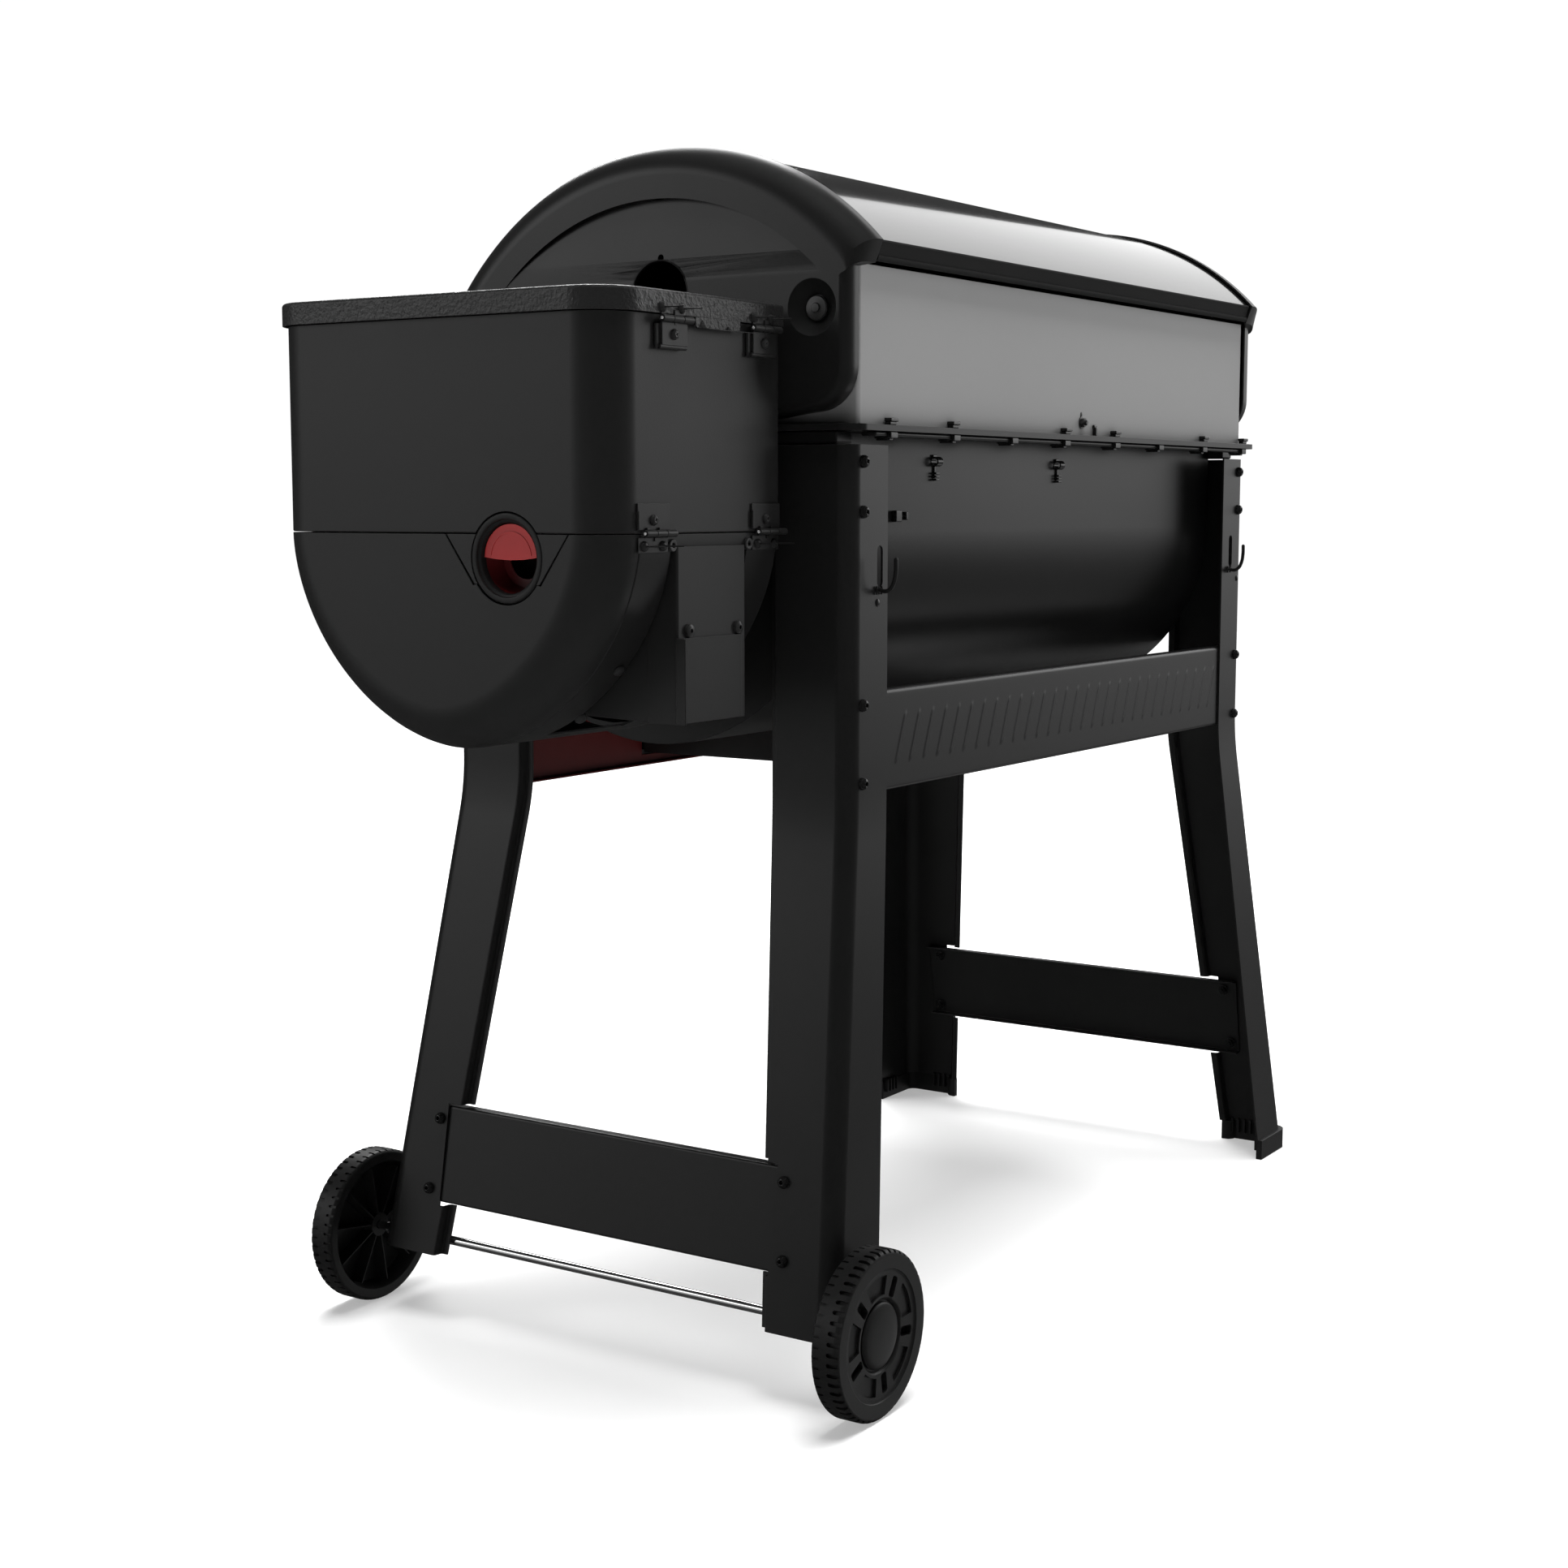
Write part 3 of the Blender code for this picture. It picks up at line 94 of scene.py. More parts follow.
CHUTE_X, CHUTE_Y, CHUTE_Z, CHUTE_DEPTH = (0.5777, 0.6850), 0.1985, (0.6631, 0.8219), 0.0330
DOOR_X, DOOR_Z = (0.5863, 0.6894), (0.6635, 0.7405)
CTRL_X, CTRL_Y, CTRL_Z = (0.5450, 0.7200), (-0.2220, -0.1972), (0.8600, 1.0000)
KNOB_X, KNOB_Z, KNOB_R, BUTTON_R = 0.6800, 0.8950, 0.0190, 0.0060
DRAWER_X, DRAWER_Y, DRAWER_Z = 0.1500, (-0.2400, 0.1000), (0.5700, 0.5980)


# ---------------------------------------------------------------- finishes
def set_inputs(node, values):
    for socket, value in values.items():
        node.inputs[socket].default_value = value
    return node


def node_with(nodes, kind, values):
    """A new shader node with some of its inputs set."""
    return set_inputs(nodes.new("ShaderNode" + kind), values)


def finish(name, dark, light, roughness, metallic=0.0, specular=0.5, cloud=7.0, grain=700.0,
           depth=0.00008, coat=0.0):
    """A coating whose colour and roughness drift a little, with a fine grain in relief."""
    made = bpy.data.materials.new(name)
    made.use_nodes = True
    nodes, links = made.node_tree.nodes, made.node_tree.links
    shader = nodes["Principled BSDF"]
    set_inputs(shader, {"Metallic": metallic, "Specular IOR Level": specular,
                        "Coat Weight": coat, "Coat Roughness": 0.06})
    place = nodes.new("ShaderNodeTexCoord")
    drift = node_with(nodes, "TexNoise", {"Scale": cloud, "Detail": 5.0})
    links.new(place.outputs["Object"], drift.inputs["Vector"])
    ramp = nodes.new("ShaderNodeValToRGB")
    for element, spot, colour in zip(ramp.color_ramp.elements, (0.3, 0.7), (dark, light)):
        element.position = spot
        element.color = (*colour, 1.0)
    links.new(drift.outputs["Fac"], ramp.inputs["Fac"])
    links.new(ramp.outputs["Color"], shader.inputs["Base Color"])
    spread = node_with(nodes, "MapRange", {"From Min": 0.25, "From Max": 0.75,
                                           "To Min": roughness[0], "To Max": roughness[1]})
    links.new(drift.outputs["Fac"], spread.inputs["Value"])
    links.new(spread.outputs["Result"], shader.inputs["Roughness"])
    fine = node_with(nodes, "TexNoise", {"Scale": grain, "Detail": 2.0})
    links.new(place.outputs["Object"], fine.inputs["Vector"])
    relief = node_with(nodes, "Bump", {"Strength": 0.6, "Distance": depth})
    links.new(fine.outputs["Fac"], relief.inputs["Height"])
    links.new(relief.outputs["Normal"], shader.inputs["Normal"])
    return made


def even(value):
    """A neutral grey."""
    return (value,) * 3


POWDER = finish("black_powder_coat", even(0.0055), even(0.0072), (0.33, 0.37))
BOX_COAT = finish("trough_coat", even(0.0050), even(0.0066), (0.29, 0.33), specular=0.30)
HOPPER_COAT = finish("hopper_coat", even(0.0080), even(0.0096), (0.40, 0.45))
TEXTURED = finish("orange_peel_coat", even(0.0110), even(0.0140), (0.30, 0.40), grain=260.0,
                  depth=0.0016)
ENAMEL = finish("black_enamel", even(0.0035), even(0.0045), (0.10, 0.13), coat=0.6, grain=160.0,
                depth=0.00003)
BAND = finish("dark_band_coat", even(0.0110), even(0.0130), (0.60, 0.66), specular=0.06)
GREY_COAT = finish("grey_coated_steel", even(0.1850), even(0.2050), (0.46, 0.52), specular=0.35,
                   cloud=3.0)
BARE = finish("bare_steel", even(0.46), even(0.52), (0.30, 0.38), metallic=1.0, cloud=16.0)
HINGE_STEEL = finish("coated_hinge_steel", even(0.0090), even(0.0115), (0.38, 0.44))
CHROME = finish("chrome", even(0.78), even(0.84), (0.05, 0.08), metallic=1.0, cloud=20.0,
                depth=0.00001)
IRON = finish("cast_iron", even(0.022), even(0.032), (0.55, 0.65), grain=320.0, depth=0.0004)
PLASTIC = finish("black_plastic", even(0.0062), even(0.0078), (0.42, 0.48), specular=0.4,
                 grain=900.0, depth=0.0001)
BOLT_BLACK = finish("black_bolt", even(0.0040), even(0.0060), (0.22, 0.28), cloud=60.0)
RED_PLASTIC = finish("red_plastic", (0.24, 0.010, 0.010), (0.28, 0.013, 0.013), (0.36, 0.42),
                     cloud=25.0)
# A darker copy of the red plastic for the port's throat: painted shade inside the hole.
RED_PLASTIC_PAINTED_SHADE = finish("red_plastic_painted_shade", (0.060, 0.0030, 0.0040), (0.075, 0.0040, 0.0050),
                  (0.40, 0.48), cloud=25.0)
RED_COAT = finish("red_coat", (0.055, 0.0045, 0.0045), (0.075, 0.0055, 0.0055), (0.48, 0.56),
                  specular=0.3, grain=300.0)
SCREEN = finish("display_lens", even(0.006), even(0.008), (0.06, 0.09), cloud=30.0, depth=0.00001)
DARK_STEEL = finish("dark_screw_steel", even(0.05), even(0.07), (0.30, 0.38), metallic=0.8,
                    cloud=60.0)
LIGHT_STEEL = finish("light_pin_steel", even(0.50), even(0.56), (0.34, 0.40), metallic=0.4,
                     cloud=60.0)


# ---------------------------------------------------------------- shape helpers
WELD = 0.000008


def linked(name, mesh):
    """An object for a mesh or a curve, in the scene."""
    obj = bpy.data.objects.new(name, mesh)
    scene.collection.objects.link(obj)
    return obj


def made_of(name, made, outward=True):
    """An object made of a finished bmesh."""
    if outward:
        bmesh.ops.recalc_face_normals(made, faces=made.faces)
    mesh = bpy.data.meshes.new(name)
    made.to_mesh(mesh)
    made.free()
    return linked(name, mesh)


def shape_of(obj):
    """An object as its modifiers or its curve settings leave it: a new mesh and its welded form."""
    bpy.context.view_layer.update()
    graph = bpy.context.evaluated_depsgraph_get()
    mesh = bpy.data.meshes.new_from_object(obj.evaluated_get(graph))
    made = bmesh.new()
    made.from_mesh(mesh)
    bmesh.ops.remove_doubles(made, verts=made.verts, dist=WELD)
    return mesh, made


def settle(obj, outward=True):
    """An object with its modifiers applied."""
    mesh, made = shape_of(obj)
    if outward:
        bmesh.ops.recalc_face_normals(made, faces=made.faces)
    made.to_mesh(mesh)
    made.free()
    obj.modifiers.clear()
    obj.data = mesh
    return obj


def boolean(obj, other):
    """Cuts one shape from another."""
    cut = obj.modifiers.new("boolean", "BOOLEAN")
    cut.operation = "DIFFERENCE"
    cut.object = other
    settle(obj, outward=False)
    bpy.data.objects.remove(other)
    return obj


def joined(name, objects):
    """Several shapes as one mesh."""
    made = bmesh.new()
    for obj in objects:
        made.from_mesh(obj.data)
        bpy.data.objects.remove(obj)
    return made_of(name, made, outward=False)


def mirrored(obj, name, axis):
    """A copy of a shape on the other side of the plane across an axis."""
    made = bmesh.new()
    made.from_mesh(obj.data)
    flip = Matrix.Scale(-1.0, 4, {"X": (1, 0, 0), "Y": (0, 1, 0)}[axis])
    bmesh.ops.transform(made, matrix=flip, verts=made.verts)
    bmesh.ops.reverse_faces(made, faces=made.faces)
    return made_of(name, made, outward=False)


def soften(obj, width, segments):
    """A bevel on every sharp edge."""
    soft = obj.modifiers.new("soft edges", "BEVEL")
    soft.width = width
    soft.segments = segments
    soft.limit_method = "ANGLE"
    soft.angle_limit = math.radians(38.0)


def dress(obj, coat, body, nodes=(), bevel=0.0005, segments=2, sharp=34.0):
    """The last step for every piece: finish, soft edges, and the body that carries it."""
    mesh = obj.data
    mesh.transform(Matrix.Translation((MID_X, 0.0, 0.0)))
    mesh.materials.clear()
    mesh.materials.append(coat)
    mesh.polygons.foreach_set("material_index", [0] * len(mesh.polygons))
    mesh.shade_smooth()
    mesh.set_sharp_from_angle(angle=math.radians(sharp))
    if bevel:
        soften(obj, bevel, segments)
    weigh = obj.modifiers.new("even shading", "WEIGHTED_NORMAL")
    weigh.weight = 80
    weigh.keep_sharp = True
    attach(obj, body)
    if nodes:
        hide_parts(*nodes)
    return obj


def box(name, start, end, corner=0.0, segments=3):
    """A block between two opposite corners, given in any order."""
    low, high = (list(map(pick, start, end)) for pick in (min, max))
    size = [b - a for a, b in zip(low, high)]
    middle = [(a + b) / 2 for a, b in zip(low, high)]
    made = bmesh.new()
    spot = Matrix.Translation(middle) @ Matrix.Diagonal((*size, 1.0))
    bmesh.ops.create_cube(made, size=1.0, matrix=spot)
    if corner:
        bmesh.ops.bevel(made, geom=list(made.edges), offset=corner, segments=segments,
                        profile=0.5, affect="EDGES")
    return made_of(name, made)


def blocks(name, coat, body, spots, others=(), nodes=()):
    """One piece made of small blocks, (corner, opposite corner, edge radius) for each."""
    parts = [box("block", start, end, corner) for start, end, corner in spots]
    return dress(joined(name, [*others, *parts]), coat, body, nodes, bevel=0.0)


FACING = {
    "X": Matrix.Rotation(math.pi / 2, 4, "Y"),
    "Y": Matrix.Rotation(-math.pi / 2, 4, "X"),
    "Z": Matrix.Identity(4),
}


def along(axis, outline, places):
    """An outline of pairs repeated at places along an axis, as rows of points."""
    spot = "XYZ".index(axis)
    return [[(*pair[:spot], place, *pair[spot:]) for pair in outline] for place in places]


def cylinder(name, axis, centre, start, end, radius, sides=48):
    middle = along(axis, [centre], [(start + end) / 2])[0][0]
    made = bmesh.new()
    bmesh.ops.create_cone(made, cap_ends=True, segments=sides, radius1=radius, radius2=radius,
                          depth=abs(end - start), matrix=Matrix.Translation(middle) @ FACING[axis])
    return made_of(name, made)


BACK = (0.0, 1.0, 0.0)


def aimed(point, direction, roll=0.0):
    """A spot whose own Z axis points in a direction."""
    turn = Vector(direction).to_track_quat("Z", "Y").to_matrix().to_4x4()
    return Matrix.Translation(point) @ turn @ Matrix.Rotation(roll, 4, "Z")


def skin(made, outlines, closed=False, foot=True):
    """Walls from each round of points to the next, closed by end faces or back to the first."""
    loops = [[made.verts.new(point) for point in outline] for outline in outlines]
    pairs = list(zip(loops, loops[1:]))
    if closed:
        pairs.append((loops[-1], loops[0]))
    for low, high in pairs:
        for i in range(len(low)):
            j = (i + 1) % len(low)
            made.faces.new((low[i], low[j], high[j], high[i]))
    if closed:
        return
    if foot:
        made.faces.new(list(reversed(loops[0])))
    made.faces.new(loops[-1])


def stamp(made, rings, spot, steps=24, closed=False):
    """Rings of (radius, height[, shape]) turned about a spot's own Z and skinned."""
    loops = []
    for radius, height, *shape in rings:
        loop = []
        for i in range(steps):
            angle = 2 * math.pi * i / steps
            r = radius
            if shape == ["hex"]:
                r = radius * math.cos(math.pi / 6) / math.cos(angle % (math.pi / 3) - math.pi / 6)
            elif shape == ["cross"]:
                r = radius * (1.0 - 0.62 * abs(math.sin(2 * angle)))
            loop.append(spot @ Vector((r * math.cos(angle), r * math.sin(angle), height)))
        loops.append(loop)
    skin(made, loops, closed)


TURN_TO = {
    "X": Matrix(((0, 0, 1, 0), (1, 0, 0, 0), (0, 1, 0, 0), (0, 0, 0, 1))),
    "Y": Matrix(((0, 1, 0, 0), (0, 0, 1, 0), (1, 0, 0, 0), (0, 0, 0, 1))),
}


def turned(name, axis, centre, rings, steps=96, closed=True):
    """A (radius, height) profile turned about an axis."""
    made = bmesh.new()
    stamp(made, rings, Matrix.Translation(centre) @ TURN_TO[axis], steps, closed)
    return made_of(name, made)


BUTTON = [(0.0062, 0.0), (0.0062, 0.0012), (0.0059, 0.0026), (0.0050, 0.0043), (0.0036, 0.0054),
          (0.0027, 0.0057), (0.0024, 0.0055, "hex"), (0.0023, 0.0026, "hex")]
PAN = [(0.0048, 0.0), (0.0048, 0.0007), (0.0045, 0.0016), (0.0037, 0.0026), (0.0025, 0.0031),
       (0.0021, 0.0031), (0.0020, 0.0030, "cross"), (0.0013, 0.0012, "cross")]
NUT = [(0.0060, 0.0), (0.0068, 0.0003), (0.0068, 0.0008), (0.0060, 0.0010), (0.0052, 0.0010, "hex"),
       (0.0052, 0.0044, "hex"), (0.0046, 0.0050), (0.0030, 0.0050), (0.0028, 0.0070),
       (0.0022, 0.0076)]
DOME = [(0.0060, 0.0), (0.0058, 0.0010), (0.0046, 0.0024), (0.0028, 0.0033), (0.0010, 0.0036)]


def rivet(stem):
    return [(0.0047, 0.0), (0.0047, 0.0006), (0.0041, 0.0019), (0.0026, 0.0028), (0.0012, 0.0030),
            (0.0007, 0.0034), (0.0006, stem - 0.001), (0.0002, stem)]


def fasteners(name, items, coat, body):
    """A set of heads: (rings, point, direction, roll) for each."""
    made = bmesh.new()
    for rings, point, direction, roll in items:
        stamp(made, rings, aimed(point, direction, roll))
    return dress(made_of(name, made), coat, body, bevel=0.0, sharp=40.0)


PLANE_TURN = {
    "YZ": TURN_TO["X"],
    "XZ": Matrix(((1, 0, 0, 0), (0, 0, -1, 0), (0, 1, 0, 0), (0, 0, 0, 1))),
    "XY": Matrix.Identity(4),
}


def plate(name, plane, outlines, low, high):
    """A flat outline, with any holes after it, given thickness from low to high."""
    curve = bpy.data.curves.new(name, "CURVE")
    curve.dimensions = "2D"
    curve.fill_mode = "BOTH"
    curve.extrude = (high - low) / 2
    for outline in outlines:
        spline = curve.splines.new("POLY")
        spline.points.add(len(outline) - 1)
        for point, (u, v) in zip(spline.points, outline):
            point.co = (u, v, 0.0, 1.0)
        spline.use_cyclic_u = True
    flat = linked(name, curve)
    _, made = shape_of(flat)
    bpy.data.objects.remove(flat)
    turn = PLANE_TURN[plane]
    middle = turn @ Matrix.Translation((0, 0, (low + high) / (-2 if plane == "XZ" else 2)))
    bmesh.ops.transform(made, matrix=middle, verts=made.verts)
    return made_of(name, made)


def thickened(obj, thickness, inward=True, even_offset=True):
    """A surface given thickness on one side."""
    solid = obj.modifiers.new("thickness", "SOLIDIFY")
    solid.thickness = thickness
    solid.offset = -1.0 if inward else 1.0
    solid.use_even_offset = even_offset
    return settle(obj)


def sheet(name, rows, thickness=SHEET, inward=True, caps=(), even_offset=True):
    """Pressed sheet: rows of points joined into an open surface, then given thickness."""
    made = bmesh.new()
    grid = [[made.verts.new(point) for point in row] for row in rows]
    for low, high in zip(grid, grid[1:]):
        for i in range(len(low) - 1):
            made.faces.new((low[i], low[i + 1], high[i + 1], high[i]))
    for index in caps:
        made.faces.new(grid[index] if index else list(reversed(grid[index])))
    bmesh.ops.remove_doubles(made, verts=made.verts, dist=WELD)
    return thickened(made_of(name, made, outward=False), thickness, inward, even_offset)


def arc(centre, radius, start, stop, count):
    return [(centre[0] + radius * math.cos(start + (stop - start) * i / count),
             centre[1] + radius * math.sin(start + (stop - start) * i / count))
            for i in range(count + 1)]


def quarter(steps):
    """Angles from nought to a right angle."""
    return [math.pi / 2 * i / steps for i in range(steps + 1)]


def rounded_rectangle(x, y, radii, count=12):
    corners = (
        (x[0], y[0], math.pi), (x[1], y[0], 1.5 * math.pi), (x[1], y[1], 0.0),
        (x[0], y[1], math.pi / 2),
    )
    points = []
    for (cx, cy, start), radius in zip(corners, radii):
        sx = 1 if cx == x[0] else -1
        sy = 1 if cy == y[0] else -1
        points += arc((cx + sx * radius, cy + sy * radius), radius, start, start + math.pi / 2,
                      count)
    return points


def wire(name, route, radius):
    """A round wire along a smoothed route."""
    curve = bpy.data.curves.new(name, "CURVE")
    curve.dimensions = "3D"
    curve.bevel_depth = radius
    curve.bevel_resolution = 4
    curve.use_fill_caps = True
    curve.resolution_u = 8
    spline = curve.splines.new("BEZIER")
    spline.bezier_points.add(len(route) - 1)
    for point, place in zip(spline.bezier_points, route):
        point.co = place
        point.handle_left_type = "AUTO"
        point.handle_right_type = "AUTO"
    obj = linked(name, curve)
    made = shape_of(obj)[1]
    bpy.data.objects.remove(obj)
    return made_of(name, made)


def stadium(u, v_low, v_high, half):
    """An upright slot outline with round ends."""
    return (arc((u, v_high - half), half, 0.0, math.pi, 10)
            + arc((u, v_low + half), half, math.pi, 2 * math.pi, 10))


# ---------------------------------------------------------------- stand
def splay(z):
    """How far the legs have spread at a height, easing through the bend."""
    if z >= LEG_BEND + LEG_BEND_HALF:
        return 0.0
    if z > LEG_BEND - LEG_BEND_HALF:
        return (LEG_BEND + LEG_BEND_HALF - z) ** 2 / (4 * LEG_BEND_HALF * LEG_BEND)
    return (LEG_BEND - z) / LEG_BEND


def leg_row(z, side_x, side_y, spread, proud=0.0):
    """A leg's section at a height: flange, round corner, web and stepped lip."""
    web, flange = LEG_WEB_X + proud, LEG_FLANGE_Y + proud
    corner = (web - LEG_CORNER_R, flange - LEG_CORNER_R)
    profile = [(LEG_FLANGE_IN_X, flange)]
    profile += arc(corner, LEG_CORNER_R, math.pi / 2, 0.0, 14)
    step = LEG_LIP_STEP
    profile += [
        (web, LEG_WEB_IN_Y + 0.0030), (web - 0.0006, LEG_WEB_IN_Y + 0.0010),
        (web - 0.0022, LEG_WEB_IN_Y), (web - step + 0.0016, LEG_WEB_IN_Y - 0.0010),
        (web - step + 0.0003, LEG_WEB_IN_Y - 0.0022), (web - step, LEG_WEB_IN_Y - 0.0045),
        (web - step, LEG_LIP_Y),
    ]
    back = FRONT_IN * (1.0 - spread) if side_y < 0 else 0.0
    row = []
    for i, (x, y) in enumerate(profile):
        x += (EDGE_SPLAY[0] if i == 0 else SPLAY_X) * spread
        y += (EDGE_SPLAY[1] if i > len(profile) - 8 else SPLAY_Y) * spread - back
        row.append((side_x * x, side_y * y, z))
    return row


def leg(name, side_x, side_y):
    bottom = WHEEL_LEG_BOTTOM if side_x > 0 else FOOT_HEIGHT + 0.0001
    low, high = LEG_BEND - LEG_BEND_HALF, LEG_BEND + LEG_BEND_HALF
    levels = [bottom, (bottom + low) / 2]
    levels += [low + (high - low) * i / 10 for i in range(11)]
    levels += [LEG_TOP]
    rows = [leg_row(z, side_x, side_y, splay(z)) for z in levels]
    obj = sheet(name, rows, inward=side_x * side_y < 0)
    slot_y = LEG_WEB_IN_Y + EDGE_SPLAY[1] * 0.85
    boolean(obj, box("slot", (side_x * 0.50, side_y * 0.130, SIDE_BRACE_Z[0] - 0.003),
                     (side_x * 0.60, side_y * slot_y, SIDE_BRACE_Z[1] + 0.003)))
    if side_x > 0:
        boolean(obj, cylinder("hole", "Y", (WHEEL_X, WHEEL_R), side_y * 0.26, side_y * 0.30,
                              AXLE_R + GAP))
    if side_y > 0:
        x = side_x * HOOK_X - (0.0040 if side_x > 0 else 0.0075)
        boolean(obj, plate("slot", "XZ", [stadium(x, 0.7795, 0.8194, 0.0052)], 0.24, 0.26))
    return dress(obj, POWDER, "stand", [name])


def foot(name, side_y):
    """A moulded boot round the leg's end, open in the middle, with teeth inside its rim."""
    rows = [leg_row(z, -1, side_y, splay(0.0), FOOT_PROUD) for z in (0.0, FOOT_HEIGHT)]
    shell = sheet(name, rows, FOOT_WALL, inward=side_y > 0, even_offset=False)
    x = -(LEG_WEB_X + SPLAY_X)
    y = LEG_FLANGE_Y + SPLAY_Y
    low, high, wide, pitch = 0.0100, 0.0290, 0.0030, 0.0085
    teeth = []
    for i in range(4):
        start = 0.2190 + pitch * i
        teeth.append(box("tooth", (x + 0.0042, side_y * start, low),
                         (x + 0.0105, side_y * (start + wide), high), 0.0004))
        start = -(LEG_FLANGE_IN_X + EDGE_SPLAY[0]) - 0.006 - pitch * i
        teeth.append(box("tooth", (start - wide, side_y * (y - 0.0105), low),
                         (start, side_y * (y - 0.0042), high), 0.0004))
    dress(joined(name + "_boot", [shell, *teeth]), PLASTIC, "stand", [name], 0.0008)


def side_brace(name, side_x):
    """A channel between two legs, leaning with them."""
    def outside(z):
        return LEG_WEB_X + SPLAY_X * splay(z) - SHEET - GAP

    low, high = SIDE_BRACE_Z
    bend = 0.0030
    section = [(outside(low) - BRACE_EDGE, low), (outside(low) - bend, low),
               *arc((outside(low) - bend, low + bend), bend, -math.pi / 2, 0.0, 5)[1:],
               *arc((outside(high) - bend, high - bend), bend, 0.0, math.pi / 2, 5),
               (outside(high) - BRACE_EDGE, high)]
    rows = along("Y", [(side_x * x, z) for x, z in section], (-0.235, 0.235))
    dress(sheet(name, rows, THIN, inward=side_x < 0), POWDER, "stand", [name])


def rear_brace():
    """The pressed back rail: rolled top edge, 29 slanted ribs, and rounded ends."""
    low, high = REAR_BRACE_Z
    face = CROSS_BRACE_Y
    bend, roll = 0.0030, 0.0045
    rib_low, rib_high, lean, pitch, count = 0.6090, 0.6520, -0.395, 0.0275, 29
    middle = (rib_low + rib_high) / 2
    first, half, proud = 0.3808, 0.0031, 0.0005
    columns = [CROSS_BRACE_X, 0.4400, 0.4150, 0.4000]
    for i in range(count):
        x = first - pitch * i
        columns += [x + half * f for f in (1.6, 1.0, 0.66, 0.33, 0.0, -0.33, -0.66, -1.0, -1.6)]
    columns += [-0.4000, -0.4150, -0.4400, -CROSS_BRACE_X]
    levels = [low + 0.004 * i for i in range(1, 7)]
    levels += [rib_low - 0.0042 + (rib_high - rib_low + 0.0084) * i / 26 for i in range(27)]
    levels += [0.6585, 0.6650, 0.6720]
    foot_bend = [(face - BRACE_EDGE, low), *arc((face - bend, low + bend), bend, -math.pi / 2, 0.0, 5)]
    top_roll = [*arc((face - roll, high - roll), roll, 0.0, math.pi / 2, 8), (face - BRACE_EDGE, high)]
    rows = []
    for x in columns:
        row = [(x, y, z) for y, z in foot_bend]
        for z in levels:
            fade = max(0.0, min(1.0, (0.4400 - abs(x)) / 0.0300))
            shift = lean * (z - middle) * fade
            nearest = first - pitch * max(0, min(count - 1, round((first - x) / pitch)))
            across = abs(x - nearest)
            beyond = max(0.0, z - rib_high, rib_low - z)
            reach = math.hypot(across, beyond)
            lift = proud * max(0.0, 1.0 - (reach / half) ** 2) if abs(x) < 0.40 else 0.0
            row.append((x + shift, face + lift, z))
        rows.append(row + [(x, y, z) for y, z in top_roll])
    dress(sheet("rear_brace", rows, THIN, inward=False), POWDER, "stand",
          ["rear_brace_panel"], bevel=0.0, sharp=50.0)


def front_brace():
    """The red front rail, a channel with a window for the grease drawer."""
    low, high = FRONT_BRACE_Z
    face = FRONT_IN - CROSS_BRACE_Y
    bend = 0.0035
    section = [(face + BRACE_EDGE, low),
               *arc((face + bend, low + bend), bend, 1.5 * math.pi, math.pi, 6),
               *arc((face + bend, high - bend), bend, math.pi, math.pi / 2, 6),
               (face + BRACE_EDGE, high)]
    rows = along("X", section, (-CROSS_BRACE_X, CROSS_BRACE_X))
    front = sheet("front_brace", rows, THIN, inward=False)
    window = box("window", (-DRAWER_X - 0.006, -0.30, DRAWER_Z[0] - 0.006),
                 (DRAWER_X + 0.006, -0.20, DRAWER_Z[1] + 0.006))
    boolean(front, window)
    dress(front, RED_COAT, "stand", ["front_brace_panel"])


def tool_hook(name, side_x):
    """A wire hook on the rear leg's flange, with the dimple beside its slot."""
    x = side_x * HOOK_X
    base = LEG_FLANGE_Y + 3 * GAP
    route = [(x, base + out, z) for out, z in
             ((0.0, 0.7775), (0.007, 0.7757), (0.0130, 0.7782), (0.0170, 0.7850), (0.0189, 0.7950),
              (0.0191, 0.8060))]
    hook = wire(name, route, 0.0021)
    made = bmesh.new()
    stamp(made, [(0.0021, 0.0), (0.0019, 0.0010), (0.0012, 0.0018), (0.0004, 0.0021)],
          aimed(route[-1], (0.0, 0.05, 1.0)))
    for side in (-1, 1):
        stamp(made, [(0.0012, -0.004), (0.0012, 0.004)],
              aimed((x + side * 0.0044, base + 0.0004, 0.7765), (0.0, 0.0, 1.0)), steps=12)
    dimple = (side_x * 0.4315 if side_x > 0 else -0.4610, LEG_FLANGE_Y, 0.7645)
    stamp(made, [(0.0040, 0.0), (0.0034, 0.0008), (0.0020, 0.0014), (0.0008, 0.0016)],
          aimed(dimple, BACK))
    dress(joined(name + "_wire", [hook, made_of("tip", made)]), POWDER, "stand",
          [name], bevel=0.0)


